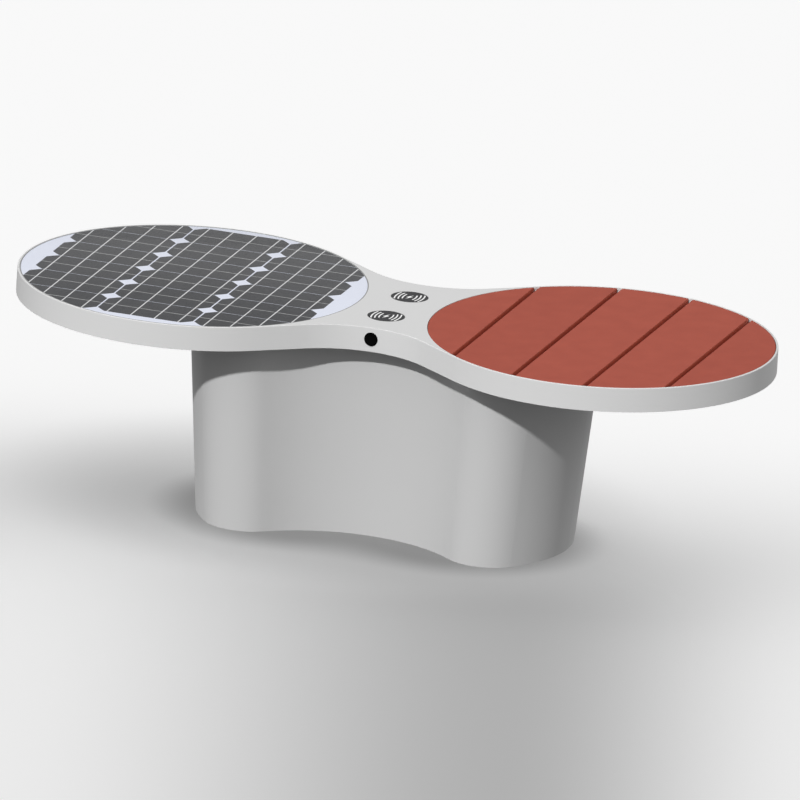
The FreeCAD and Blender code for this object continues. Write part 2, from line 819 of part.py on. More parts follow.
# Socket, measured along Y from the seat of its flange
flange_back_y = -waist_half_width + socket_seat_depth
flange_front_y = flange_back_y - socket_flange_thickness
lid_seat_y = flange_front_y + lid_recess
barrel_end_y = flange_back_y + socket_barrel_length
lid_pivot_y = flange_front_y - lid_pivot_stand_off
lid_pivot_z = socket_height + lid_pivot_rise
ear_inner_x = lid_knuckle_half_width + lid_side_gap
ear_outer_x = ear_inner_x + lid_ear_width
ear_round = lid_knuckle_radius + fit_clearance


def socket_rod(radius, y0, y1):
    return rod(radius, (0, y0, socket_height), (0, y1, socket_height))


def pivot_rod(radius, x0, x1):
    return rod(radius, (x0, lid_pivot_y, lid_pivot_z), (x1, lid_pivot_y, lid_pivot_z))


def make_bezel():
    body = fuse([socket_rod(socket_flange_radius, flange_back_y, flange_front_y),
                 socket_rod(socket_barrel_radius, flange_back_y, barrel_end_y)])
    for x0, x1 in ((-ear_outer_x, -ear_inner_x), (ear_inner_x, ear_outer_x)):
        root = box(x0, x1, lid_pivot_y, flange_back_y, lid_pivot_z - ear_round, lid_pivot_z + ear_round)
        body = body.fuse(root.common(socket_rod(socket_flange_radius, flange_back_y, lid_pivot_y)))
        body = body.fuse(pivot_rod(ear_round, x0, x1))
    body = body.removeSplitter()
    recess = socket_rod(lid_radius + fit_clearance, lid_seat_y, flange_front_y)
    ears = box(-ear_outer_x, ear_outer_x, flange_front_y, lid_seat_y, lid_pivot_z - ear_round,
               lid_pivot_z + ear_round)
    body = body.cut(recess.cut(ears))
    body = body.cut(pivot_rod(lid_knuckle_radius + lid_knuckle_clearance, -ear_inner_x, ear_inner_x))
    slot = box(-ear_inner_x, ear_inner_x, flange_front_y, lid_seat_y, socket_height, lid_pivot_z)
    body = body.cut(slot)
    body = body.cut(pivot_rod(lid_pin_radius + pin_fit, -ear_outer_x, ear_outer_x))
    return body.cut(socket_rod(socket_bore_radius, flange_front_y, barrel_end_y))


parts["usb_bezel"] = make_bezel()


def port(slot, tongue, z):
    """Hole for a plug, with the tongue that carries the contacts."""
    width, height, depth = slot
    front = lid_seat_y + insert_recess
    hole = box(-width / 2, width / 2, front, front + depth, z - height / 2, z + height / 2)
    tongue_w, tongue_h, tongue_l = tongue
    blade = box(-tongue_w / 2, tongue_w / 2, front + depth - tongue_l, front + depth,
                z - tongue_h / 2, z + tongue_h / 2)
    return hole.cut(blade)


def make_insert():
    front = lid_seat_y + insert_recess
    plug = socket_rod(socket_bore_radius - tight_fit, front, barrel_end_y)
    back = socket_rod(socket_back_radius, barrel_end_y, barrel_end_y + socket_back_length)
    insert = fuse([plug, back])
    insert = insert.cut(port(usb_a_slot, usb_a_tongue, socket_height + usb_a_rise))
    insert = insert.cut(port(usb_c_slot, usb_c_tongue, socket_height - usb_c_drop))
    mid = barrel_end_y + socket_back_length / 2
    return insert.cut(lead_hole((socket_back_radius, mid, socket_height), (-1, 0, 0)))


parts["usb_insert"] = make_insert()
nut_face_y = -waist_half_width + rim_wall + skin_clearance
parts["usb_nut"] = socket_rod(socket_nut_radius, nut_face_y, nut_face_y + socket_nut_height).cut(
    socket_rod(socket_barrel_radius + pin_fit, nut_face_y, nut_face_y + socket_nut_height))


def make_lid():
    back = lid_seat_y - tight_fit
    front = back - lid_thickness
    thumb_front = front - lid_thumb_rise
    disc = socket_rod(lid_radius, back, front)
    low = socket_height - lid_radius
    thumb = polygon_prism([(-lid_radius, front, socket_height),
                           (-lid_radius, thumb_front, low + lid_thumb_land),
                           (-lid_radius, thumb_front, low), (-lid_radius, front, low)],
                          (2 * lid_radius, 0, 0))
    disc = disc.fuse(thumb.common(socket_rod(lid_radius, back, thumb_front)))
    top = lid_pivot_z - lid_disc_drop
    keep = box(-lid_radius, lid_radius, thumb_front, back, low, top)
    arm = box(-lid_knuckle_half_width, lid_knuckle_half_width, front, back - fit_clearance,
              top - lid_arm_overlap, lid_pivot_z)
    barrel = pivot_rod(lid_knuckle_radius, -lid_knuckle_half_width, lid_knuckle_half_width)
    lid = fuse([disc.common(keep), arm, barrel])
    lid = lid.cut(pivot_rod(lid_knuckle_radius + spring_clearance, -spring_half_width, spring_half_width))
    return lid.cut(pivot_rod(lid_pin_radius + running_fit, -lid_knuckle_half_width, lid_knuckle_half_width))


parts["usb_lid"] = make_lid()
parts["usb_lid_pin"] = pivot_rod(lid_pin_radius, -ear_outer_x, ear_outer_x)


def make_lid_spring():
    half = spring_wire / 2
    coil_radius = lid_pin_radius + tight_fit + half
    height = 2 * (spring_half_width - half - spring_end_gap)
    helix = Part.makeHelix(height / spring_turns, height, coil_radius)
    corners = [Vector(coil_radius + x, 0, z)
               for x, z in ((-half, -half), (half, -half), (half, half), (-half, half))]
    section = Part.Wire(Part.makePolygon(corners + corners[:1]))
    coil = Part.Wire(helix.Edges).makePipeShell([section], True, True)
    coil.rotate(Vector(0, 0, 0), Vector(0, 1, 0), 90)
    coil.translate(Vector(-height / 2, lid_pivot_y, lid_pivot_z))
    return coil


parts["usb_lid_spring"] = make_lid_spring()

# Service door hinge, a vertical line behind the left edge of the hatch
hinge_x = -hatch_half_width + door_gap / 2
hinge_y = back_wall_y(hinge_x, hinge_heights[1]) + hinge_stand_off


def hinge_rod(radius, z0, z1):
    return rod(radius, (hinge_x, hinge_y, z0), (hinge_x, hinge_y, z1))


def knuckle(z0, z1, towards):
    """Barrel with the block that joins it to the wall on one side of the hinge line."""
    x0, x1 = sorted((hinge_x, hinge_x + towards * hinge_leaf))
    wall_y = back_wall_y(hinge_x, z0)
    block = box(x0, x1, wall_y - 2 * shell_wall, hinge_y, z0, z1)
    block = block.cut(pedestal_layer(z0, z1, shell_wall / 2))
    return hinge_rod(knuckle_radius, z0, z1).fuse(block)


def door_knuckle_spans():
    return [(z - knuckle_length / 2, z + knuckle_length / 2) for z in hinge_heights]


def shell_knuckle_spans():
    spans = []
    for low, high in door_knuckle_spans():
        spans.append((low - knuckle_gap - knuckle_length, low - knuckle_gap))
        spans.append((high + knuckle_gap, high + knuckle_gap + knuckle_length))
    return spans


# Pedestal: one tapered wall, with the hatch cut out of its back
def make_pedestal_shell():
    wall = pedestal_layer(0, rim_bottom, 0)
    wall = wall.cut(pedestal_layer(-cut_past, rim_bottom + cut_past, shell_wall))
    wall = wall.cut(box(-hatch_half_width, hatch_half_width, 0, base_half_width, hatch_bottom, hatch_top))
    knuckles = [knuckle(low, high, -1) for low, high in shell_knuckle_spans()]
    bore = hinge_rod(hinge_pin_radius + pin_fit, hatch_bottom, hatch_top)
    return fuse([wall] + knuckles).cut(bore)


parts["pedestal_shell"] = make_pedestal_shell()

plate_inset = shell_wall + plate_clearance


def make_base_plate():
    plate = pedestal_layer(0, base_plate_thickness, plate_inset)
    plate = plate.cut(pedestal_layer(-cut_past, base_plate_thickness + cut_past,
                                     plate_inset + base_ring_width))
    for x in (-anchor_spacing_x / 2, anchor_spacing_x / 2):
        for y in (-anchor_spacing_y / 2, anchor_spacing_y / 2):
            plate = plate.cut(rod(anchor_hole_radius, (x, y, 0), (x, y, base_plate_thickness)))
    for x, y in bracket_bolt_places():
        plate = plate.cut(rod(bolt_radius + bolt_clearance, (x, y, 0), (x, y, base_plate_thickness)))
    return plate


def bracket_bolt_places():
    x = shelf_half_width - bracket_bolt_inset[0]
    y = shelf_rear_y - bracket_bolt_inset[1]
    return [(sx * x, sy * y) for sx in (-1, 1) for sy in (-1, 1)]


parts["base_plate"] = make_base_plate()


def make_top_flange():
    low = rim_bottom - top_flange_thickness
    flange = pedestal_layer(low, rim_bottom, plate_inset)
    flange = flange.cut(pedestal_layer(low - cut_past, rim_bottom + cut_past,
                                       plate_inset + top_flange_width))
    return drill_bolts(flange, low, rim_bottom)


parts["top_flange"] = make_top_flange()


# Bolts from inside the pedestal up through flange and pan, with nuts on the pan
def make_flange_fasteners():
    bolts = []
    nuts = []
    flats, head = flange_bolt_head
    low = rim_bottom - top_flange_thickness
    for x, y in flange_bolt_places():
        shank = rod(flange_bolt_radius, (x, y, low), (x, y, low + flange_bolt_reach + head))
        bolts.append(fuse([hexagon(flats, (x, y, low - head), (x, y, low)), shank]))
        nut = hexagon(flats, (x, y, pan_top), (x, y, pan_top + head))
        nuts.append(nut.cut(rod(flange_bolt_radius + pin_fit, (x, y, pan_top), (x, y, pan_top + head))))
    return bolts, nuts


flange_bolts, flange_nuts = make_flange_fasteners()
parts["flange_bolts"] = Part.makeCompound(flange_bolts)
parts["flange_nuts"] = Part.makeCompound(flange_nuts)

# Hatch frame behind the opening, with the lip that the seal lies on
frame_front = shell_wall + skin_clearance
lip_front = frame_depth - frame_lip_thickness


def make_hatch_frame():
    frame = back_band(hatch_half_width + frame_land, hatch_bottom - frame_land, hatch_top + frame_land,
                      frame_front, frame_depth)
    rebate = back_band(hatch_half_width, hatch_bottom, hatch_top, shell_wall, lip_front)
    window = box(-hatch_half_width + frame_lip_width, hatch_half_width - frame_lip_width, 0, base_half_width,
                 hatch_bottom + frame_lip_width, hatch_top - frame_lip_width)
    return frame.cut(rebate).cut(window)


parts["hatch_frame"] = make_hatch_frame()


def make_hatch_seal():
    band = back_band(hatch_half_width - seal_margin, hatch_bottom + seal_margin, hatch_top - seal_margin,
                     shell_wall + skin_clearance, lip_front - skin_clearance)
    inner = seal_margin + seal_width
    window = box(-hatch_half_width + inner, hatch_half_width - inner, 0, base_half_width,
                 hatch_bottom + inner, hatch_top - inner)
    return band.cut(window)


parts["hatch_seal"] = make_hatch_seal()

# Lock: its axis stands square to the door's curved face
lock_y = back_wall_y(lock_x, lock_height)
lock_centre = Vector(lock_x, lock_y, lock_height)
lock_out = Vector(-lock_x, base_plan.waist_y * flare(lock_height) - lock_y, 0).normalize()
lock_seat = -lock_seat_depth


def lock_point(depth):
    """Point on the lock's axis, with depth counted outwards from the door's face."""
    p = lock_centre + lock_out * depth
    return (p.x, p.y, p.z)


def lock_rod(radius, d0, d1):
    return rod(radius, lock_point(d0), lock_point(d1))


def make_service_door():
    skin = back_band(door_half_width, door_bottom, door_top, 0, shell_wall)
    knuckles = [knuckle(low, high, 1) for low, high in door_knuckle_spans()]
    door = fuse([skin] + knuckles)
    door = door.cut(hinge_rod(hinge_pin_radius + running_fit, door_bottom, door_top))
    door = door.cut(lock_rod(lock_head_radius + fit_clearance, lock_seat, 2 * shell_wall))
    return door.cut(lock_rod(lock_barrel_radius + fit_clearance, -2 * shell_wall, shell_wall))


parts["service_door"] = make_service_door()


def make_hinge_pins():
    pins = []
    for z in hinge_heights:
        reach = 1.5 * knuckle_length + knuckle_gap
        shank = hinge_rod(hinge_pin_radius, z - reach, z + reach)
        cap = hinge_rod(hinge_cap[0], z + reach, z + reach + hinge_cap[1])
        pins.append(fuse([shank, cap]))
    return Part.makeCompound(pins)


parts["hinge_pins"] = make_hinge_pins()
lock_back = lock_seat - lock_barrel_depth


def make_lock():
    head = lock_rod(lock_head_radius, lock_seat, lock_seat + lock_head_thickness)
    barrel = lock_rod(lock_barrel_radius, lock_back, lock_seat)
    housing = fuse([head, barrel])
    bore = lock_rod(lock_plug_radius + running_fit, lock_back, lock_seat + lock_head_thickness)
    parts["lock_housing"] = housing.cut(bore)
    nut_front = -shell_wall - lock_nut_gap
    nut_back = nut_front - lock_nut_height
    nut = hexagon(lock_nut_flats, lock_point(nut_back), lock_point(nut_front), 30)
    parts["lock_nut"] = nut.cut(lock_rod(lock_barrel_radius + pin_fit, nut_back, nut_front))
    cam_front = lock_back - lock_cam_clearance
    plug = lock_rod(lock_plug_radius, cam_front, lock_seat + lock_head_thickness - lock_plug_recess)
    slot_front = lock_seat + lock_head_thickness
    slot_width, slot_height, slot_depth = key_slot
    slot = box(-slot_width / 2, slot_width / 2, -slot_depth, slot_depth, -slot_height / 2, slot_height / 2)
    slot.rotate(Vector(0, 0, 0), Vector(0, 0, 1), math.degrees(math.atan2(lock_out.y, lock_out.x)) - 90)
    slot.translate(Vector(*lock_point(slot_front)))
    parts["lock_plug"] = plug.cut(slot)
    cam_back = cam_front - lock_cam_thickness
    hub = lock_rod(lock_cam_width / 2, cam_back, cam_front)
    half = lock_cam_width / 2
    blade = box(-half, half, 0, lock_cam_thickness, -lock_cam_length, 0)
    blade.rotate(Vector(0, 0, 0), Vector(0, 0, 1), math.degrees(math.atan2(lock_out.y, lock_out.x)) - 90)
    blade.translate(Vector(*lock_point(cam_back)))
    parts["lock_cam"] = fuse([hub, blade])


make_lock()

# Equipment bracket: one folded sheet, upright behind the battery and flat under it


def make_bracket():
    back = bracket_face_y - bracket_plate
    upright = box(-bracket_half_width, bracket_half_width, back, bracket_face_y,
                  base_plate_thickness, bracket_top)
    shelf = box(-shelf_half_width, shelf_half_width, back, shelf_rear_y, base_plate_thickness, shelf_top)
    pieces = [upright, shelf]
    for side in (-1, 1):
        near = side * (battery_half_x + fit_clearance)
        far = near + side * bracket_plate
        x0, x1 = sorted((near, far))
        pieces.append(box(x0, x1, battery_front_y, battery_rear_y, shelf_top, shelf_top + battery_lip))
    bracket = fuse(pieces)
    for x, y in bracket_bolt_places():
        bracket = bracket.cut(rod(bolt_radius + bolt_clearance,
                                  (x, y, base_plate_thickness), (x, y, shelf_top)))
    return bracket


parts["equipment_bracket"] = make_bracket()


def make_bracket_bolts():
    bolts = []
    flats, head = bolt_head
    for x, y in bracket_bolt_places():
        shank = rod(bolt_radius, (x, y, bracket_bolt_lift), (x, y, shelf_top))
        bolts.append(fuse([shank, hexagon(flats, (x, y, shelf_top), (x, y, shelf_top + head))]))
    return Part.makeCompound(bolts)


parts["bracket_bolts"] = make_bracket_bolts()


def make_battery():
    body = box(-battery_half_x, battery_half_x, battery_front_y, battery_rear_y, shelf_top, battery_top)
    body = body.makeFillet(battery_edge_radius, upright_edges(body))
    y = terminal_y
    posts = [rod(terminal_radius, (x, y, battery_top), (x, y, battery_top + terminal_height))
             for x in (-terminal_x, terminal_x)]
    return fuse([body] + posts)


parts["battery"] = make_battery()


# Strap: screwed to the upright, over the battery and down to the shelf
def make_strap():
    half = strap_width / 2
    t = strap_thickness
    over = battery_top
    rear = battery_rear_y + fit_clearance
    tab = box(-half, half, bracket_face_y, bracket_face_y + t, over - strap_tab, over)
    run = box(-half, half, bracket_face_y, rear + t, over, over + t)
    leg = box(-half, half, rear, rear + t, shelf_top, over + t)
    foot = box(-half, half, rear, rear + strap_tab, shelf_top, shelf_top + t)
    return fuse([tab, run, leg, foot])


parts["battery_strap"] = make_strap()


def bracket_unit(size, x, z, fins):
    """Unit on the upright, above the battery, with cooling fins cut into its face."""
    length, depth, height = size
    y = bracket_face_y
    body = box(x, x + length, y, y + depth, z, z + height)
    pitch = height / (2 * fins + 1)
    for i in range(fins):
        low = z + (2 * i + 1) * pitch
        body = body.cut(box(x + fin_margin, x + length - fin_margin, y + depth - fin_depth, y + depth,
                            low, low + pitch))
    return body


controller_side_x = controller_place[0]
lead_y = bracket_face_y + lead_stand_off
battery_lead_x = {name: controller_side_x + inset
                  for name, inset in zip(("red", "black"), battery_lead_inset)}
converter_leads = {name: converter_place[0] + inset
                   for name, inset in zip(("pad_front", "pad_rear", "socket"), converter_lead_inset)}

controller = bracket_unit(controller_size, controller_side_x, controller_bottom, controller_fins)
for x in battery_lead_x.values():
    controller = controller.cut(lead_hole((x, lead_y, controller_bottom), (0, 0, 1)))
panel_lead_z = controller_bottom + controller_size[2] / 2
controller = controller.cut(lead_hole((controller_side_x, lead_y, panel_lead_z), (1, 0, 0)))
parts["charge_controller"] = controller
converter = bracket_unit(converter_size, converter_place[0], converter_bottom, converter_fins)
for x in converter_leads.values():
    converter = converter.cut(lead_hole((x, lead_y, converter_top), (0, 0, -1)))
parts["usb_converter"] = converter

# Leads, each from its unit through its grommet
panel_x, panel_y = lead_holes["panel"]
parts["panel_lead"] = lead("panel_lead", [
    (panel_x, panel_y, bearer_top - junction_box_size[2] + lead_grip),
    (panel_x, panel_y, rim_bottom - panel_lead_drop),
    (panel_x, lead_y, panel_lead_z),
    (controller_side_x + lead_grip, lead_y, panel_lead_z),
])


def battery_lead(name, post_x):
    x = battery_lead_x[name]
    z = battery_top + terminal_height / 2
    bend_z = battery_top + battery_lead_level * (controller_bottom - battery_top)
    return lead("battery_lead_" + name, [
        (post_x, terminal_y - terminal_radius - tight_fit, z),
        (post_x, lead_y + battery_lead_run, z),
        (x, lead_y, bend_z),
        (x, lead_y, controller_bottom + lead_grip),
    ])


parts["battery_leads"] = Part.makeCompound([battery_lead("red", -terminal_x),
                                            battery_lead("black", terminal_x)])


def lead_level(share):
    return converter_top + share * (rim_bottom - converter_top)


def pad_lead(name, y):
    x = converter_leads["pad_" + name]
    floor = deck_bottom - pad_flange_thickness - housing_depth
    return lead("pad_lead_" + name, [
        (x, lead_y, converter_top - lead_grip),
        (x, lead_y, lead_level(pad_lead_levels[0])),
        (0, y, lead_level(pad_lead_levels[1])),
        (0, y, floor + housing_wall + pad_lead_reach),
    ])


parts["charger_leads"] = Part.makeCompound([pad_lead("front", -pad_offset), pad_lead("rear", pad_offset)])
socket_x, socket_y = lead_holes["socket"]
socket_back_y = barrel_end_y + socket_back_length / 2
sunk_z = socket_height - socket_lead_sink
parts["usb_lead"] = lead("usb_lead", [
    (socket_back_radius - lead_grip, socket_back_y, socket_height),
    (socket_back_radius + socket_lead_run, socket_back_y, socket_height),
    (socket_x - socket_lead_bend[0], socket_y - socket_lead_bend[1], sunk_z),
    (socket_x, socket_y, sunk_z),
    (socket_x, socket_y, lead_level(socket_lead_levels[1])),
    (converter_leads["socket"], lead_y, lead_level(socket_lead_levels[0])),
    (converter_leads["socket"], lead_y, converter_top - lead_grip),
])

os.makedirs("parts", exist_ok=True)
for node, shape in parts.items():
    if not shape.isValid():
        print("not valid:", node)
    shape.exportStep("parts/%s.step" % node)
print(len(parts), "nodes")
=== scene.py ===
import json
import math

import bmesh
import bpy
from mathutils import Matrix, Vector
from mathutils.bvhtree import BVHTree


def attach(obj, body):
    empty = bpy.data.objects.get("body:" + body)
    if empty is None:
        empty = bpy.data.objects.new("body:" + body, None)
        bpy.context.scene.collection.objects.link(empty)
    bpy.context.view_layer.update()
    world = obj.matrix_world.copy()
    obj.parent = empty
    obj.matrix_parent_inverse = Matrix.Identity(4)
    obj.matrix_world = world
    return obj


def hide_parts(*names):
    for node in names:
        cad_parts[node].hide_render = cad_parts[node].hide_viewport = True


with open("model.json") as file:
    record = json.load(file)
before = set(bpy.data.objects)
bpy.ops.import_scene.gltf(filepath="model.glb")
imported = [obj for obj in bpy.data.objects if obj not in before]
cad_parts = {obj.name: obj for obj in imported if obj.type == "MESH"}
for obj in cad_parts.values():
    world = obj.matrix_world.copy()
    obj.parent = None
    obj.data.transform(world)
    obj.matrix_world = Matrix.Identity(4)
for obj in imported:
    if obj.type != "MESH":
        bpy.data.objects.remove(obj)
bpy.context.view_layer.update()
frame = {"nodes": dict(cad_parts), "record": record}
nodes = frame["nodes"]
print("frame loaded:", len(nodes), "nodes")


# Shader graphs. A Value is one socket with Python arithmetic, a Graph is one material or the sky
class Value:
    def __init__(self, graph, socket):
        self.graph = graph
        self.socket = socket

    def __add__(self, other):
        return self.graph.math("ADD", self, other)

    def __sub__(self, other):
        return self.graph.math("SUBTRACT", self, other)

    def __rsub__(self, other):
        return self.graph.math("SUBTRACT", other, self)

    def __mul__(self, other):
        return self.graph.math("MULTIPLY", self, other)

    def __truediv__(self, other):
        return self.graph.math("DIVIDE", self, other)

    __radd__ = __add__
    __rmul__ = __mul__


class Graph:
    def __init__(self, name, owner=None):
        self.owner = owner or bpy.data.materials.new(name)
        self.owner.use_nodes = True
        self.tree = self.owner.node_tree
        self.tree.nodes.clear()
        self.place = None if owner else self.node("ShaderNodeTexCoord", output="Object")

    # An output of None gives the values of all outputs
    def node(self, kind, settings=None, inputs=None, output=0):
        made = self.tree.nodes.new(kind)
        for key, setting in (settings or {}).items():
            setattr(made, key, setting)
        for key, value in (inputs or {}).items():
            socket = made.inputs[key]
            if isinstance(value, Value):
                self.tree.links.new(value.socket, socket)
            else:
                socket.default_value = (*value, 1) if socket.type == "RGBA" else value
        if output is None:
            return [Value(self, socket) for socket in made.outputs]
        return Value(self, made.outputs[output]) if made.outputs else None

    def math(self, operation, first, second=0.0, third=0.0):
        return self.node("ShaderNodeMath", {"operation": operation}, {0: first, 1: second, 2: third})

    def smooth(self, value, low, high):
        return self.node("ShaderNodeMapRange", {"interpolation_type": "SMOOTHSTEP"},
                         {"Value": value, "From Min": low, "From Max": high})

    def mix(self, factor, first, second, blend="MIX"):
        return self.node("ShaderNodeMix", {"data_type": "RGBA", "blend_type": blend},
                         {0: factor, 6: first, 7: second}, output=2)

    def scaled(self, x, y, z, source=None):
        return self.node("ShaderNodeVectorMath", {"operation": "MULTIPLY"},
                         {0: source or self.place, 1: (x, y, z)})

    def noise(self, scale, detail=2.0, vector=None, roughness=0.5):
        return self.node("ShaderNodeTexNoise", None, {
            "Vector": vector or self.place, "Scale": scale, "Detail": detail, "Roughness": roughness})

    def axes(self, source=None):
        return self.node("ShaderNodeSeparateXYZ", None, {"Vector": source or self.place}, output=None)

    def upward(self):
        return self.axes(self.node("ShaderNodeTexCoord", output="Normal"))[2]

    def bump(self, height, strength, distance):
        return self.node("ShaderNodeBump", None, {
            "Height": height, "Strength": strength, "Distance": distance})

    def painted(self, inputs):
        surface = self.node("ShaderNodeBsdfPrincipled", None, inputs)
        self.node("ShaderNodeOutputMaterial", None, {"Surface": surface})
        return self.owner


def grey(tone):
    return (tone, tone, tone)


# Camera: a parallel view from the front, a little from the right and from above
photoView = {"azimuth": 17.27, "elevation": 16.61, "roll": 3.45, "width": 1.6,
             "target": (0.0, 0.0, 0.45), "right": 0.00404, "up": -0.1871, "distance": 6.0}


def makeCamera():
    azimuth = math.radians(photoView["azimuth"])
    elevation = math.radians(photoView["elevation"])
    roll = math.radians(photoView["roll"])
    back = Vector((math.sin(azimuth) * math.cos(elevation), -math.cos(azimuth) * math.cos(elevation),
                   math.sin(elevation)))
    right = Vector((math.cos(azimuth), math.sin(azimuth), 0))
    up = back.cross(right)
    rolledRight = right * math.cos(roll) + up * math.sin(roll)
    rolledUp = up * math.cos(roll) - right * math.sin(roll)
    data = bpy.data.cameras.new("photoCamera")
    data.type = "ORTHO"
    data.ortho_scale = photoView["width"]
    camera = bpy.data.objects.new("photoCamera", data)
    bpy.context.scene.collection.objects.link(camera)
    place = Vector(photoView["target"]) + rolledRight * photoView["right"] + rolledUp * photoView["up"]
    camera.matrix_world = Matrix.Translation(place + back * photoView["distance"]) @ Matrix(
        (rolledRight, rolledUp, back)).transposed().to_4x4()
    bpy.context.scene.camera = camera


makeCamera()

# Studio: a pale sky that is brighter on both sides and low at the back, and one small key light from above
# the front
studio = {"skyLow": 0.19, "skyHigh": 0.54, "horizon": (-0.10, 0.35), "lobePower": 6.0,
          "lobes": (((0.80, 0.37, 0.47), 1.10), ((-0.88, 0.0, 0.47), 0.38), ((-0.25, 0.87, -0.42), 0.60)),
          "keyFrom": (-0.127, -0.802, 0.583), "keyPower": 2.95, "keyAngle": 2.2}
# The floor glows a little, more at the back. Its shade is a soft band in front, a wide pool round the
# bench and a narrow one along the pedestal's foot. In low views a second floor shows past the first
floorLook = {"size": 40.0, "tone": 0.975, "roughness": 0.7, "glow": (0.27, 0.389), "glowRange": (-0.2, 0.9),
             "band": 0.47, "bandLeft": -0.77, "bandMiddle": 0.27, "bandRight": 0.92,
             "bandStart": (-0.15, 0.61), "bandEnd": (2.0, 3.2),
             "wide": 0.283, "wideCenter": (-0.165, 0.087), "wideSize": (0.682, 0.571), "wideEnd": 1.215,
             "contact": 0.409, "contactRange": (-0.02, 0.109), "footOffset": (-0.012, -0.011),
             "footLobe": 0.1775, "footRadius": 0.205, "footBlend": 0.2,
             "under": -1.5, "underGlow": (0.80, 0.97), "underRange": (1.0, -1.0)}


def makeFloorPaint():
    look = floorLook
    azimuth = math.radians(photoView["azimuth"])
    graph = Graph("floorPaint")
    x, y = graph.axes()[:2]
    side = x * math.cos(azimuth) + y * math.sin(azimuth)
    front = x * math.sin(azimuth) - y * math.cos(azimuth)
    across = graph.smooth(side, look["bandLeft"], look["bandMiddle"]) * (
        1.0 - graph.smooth(side, look["bandMiddle"], look["bandRight"]))
    along = graph.smooth(front, *look["bandStart"]) * (1.0 - graph.smooth(front, *look["bandEnd"]))
    wide = (x - look["wideCenter"][0]) / look["wideSize"][0]
    deep = (y - look["wideCenter"][1]) / look["wideSize"][1]
    near = 1.0 - graph.smooth(wide * wide + deep * deep, 0.0, look["wideEnd"])
    reach = []
    for lobe in (-look["footLobe"], look["footLobe"]):
        fromX = x - (lobe + look["footOffset"][0])
        fromY = y - look["footOffset"][1]
        reach.append(graph.math("SQRT", fromX * fromX + fromY * fromY))
    foot = graph.math("SMOOTH_MIN", *reach, look["footBlend"]) - look["footRadius"]
    touch = 1.0 - graph.smooth(foot, *look["contactRange"])
    shade = 1.0 - (1.0 - across * along * look["band"]) * (1.0 - near * look["wide"]) * (
        1.0 - touch * look["contact"])
    glow = graph.mix(graph.smooth(0.0 - front, *look["glowRange"]), *map(grey, look["glow"]))
    return graph.painted({
        "Base Color": graph.mix(shade, grey(look["tone"]), grey(0.0)), "Roughness": look["roughness"],
        "Specular IOR Level": 0.0, "Emission Color": graph.mix(shade, glow, grey(0.0)),
        "Emission Strength": 1.0})


def makeUnderPaint():
    graph = Graph("underPaint")
    toFront = graph.smooth(graph.axes()[1], *floorLook["underRange"])
    return graph.painted({
        "Base Color": grey(0.0), "Specular IOR Level": 0.0, "Emission Strength": 1.0,
        "Emission Color": graph.mix(toFront, *map(grey, floorLook["underGlow"]))})


def makeGround(name, height, material):
    mesh = bpy.data.meshes.new(name)
    bm = bmesh.new()
    bmesh.ops.create_grid(bm, x_segments=1, y_segments=1, size=floorLook["size"] / 2,
                          matrix=Matrix.Translation((0, 0, height)))
    bm.to_mesh(mesh)
    bm.free()
    mesh.materials.append(material)
    ground = bpy.data.objects.new(name, mesh)
    bpy.context.scene.collection.objects.link(ground)
    ground.visible_diffuse = False
    ground.visible_glossy = False
    return ground


def makeSky():
    graph = Graph("studioSky", bpy.data.worlds.new("studioSky"))
    direction = graph.node("ShaderNodeTexCoord", output="Generated")
    rise = studio["skyHigh"] - studio["skyLow"]
    light = graph.smooth(graph.axes(direction)[2], *studio["horizon"]) * rise + studio["skyLow"]
    for toward, strength in studio["lobes"]:
        facing = graph.node("ShaderNodeVectorMath", {"operation": "DOT_PRODUCT"},
                            {0: direction, 1: toward}, output="Value")
        ahead = graph.math("MAXIMUM", facing, 0.0)
        light = light + strength * graph.math("POWER", ahead, studio["lobePower"])
    surface = graph.node("ShaderNodeBackground", None, {"Strength": light})
    graph.node("ShaderNodeOutputWorld", None, {"Surface": surface})
    return graph.owner


def makeKeyLight():
    data = bpy.data.lights.new("keyLight", "SUN")
    data.energy = studio["keyPower"]
    data.angle = math.radians(studio["keyAngle"])
    lamp = bpy.data.objects.new("keyLight", data)
    bpy.context.scene.collection.objects.link(lamp)
    lamp.visible_glossy = False  # no glare on the tops from behind
    lamp.rotation_mode = "QUATERNION"
    lamp.rotation_quaternion = Vector(studio["keyFrom"]).to_track_quat("Z", "Y")
    lit = bpy.data.collections.new("keyLit")
    lamp.light_linking.receiver_collection = lit  # the floor's shade is painted, so the key leaves it out
    return lit


bpy.context.scene.view_settings.view_transform = "Standard"
bpy.context.scene.world = makeSky()
keyLit = makeKeyLight()
makeGround("floor", 0.0, makeFloorPaint())
makeGround("floorUnder", floorLook["under"], makeUnderPaint()).visible_shadow = False
print("camera and studio ready")


# Solar panel: sizes shared by its pieces and materials. Through real glass the cells look nearer than
# they are, so the laminate and cells stand just under the panel's face here
panel = {"center": -0.43, "radius": 0.3478, "bottom": 0.4448, "laminateTop": 0.4490, "glassBottom": 0.4492,
         "top": 0.450, "edge": 0.0002, "segments": 256, "cellRadius": 0.3476, "cellThickness": 0.00008,
         "columns": 3, "rows": 6, "pitch": (0.2037, 0.1081), "shift": (-0.0026, 0.0051), "turn": -0.3,
         "seam": (0.003, 0.00145), "chamfer": 0.0196, "chamferSteps": 3, "chamferRound": 0.27,
         "clipSides": 120, "ribbonsPerCell": 4, "ribbonPitch": 0.0499, "ribbonWidth": 0.0026,
         "ribbonThickness": 0.00004}

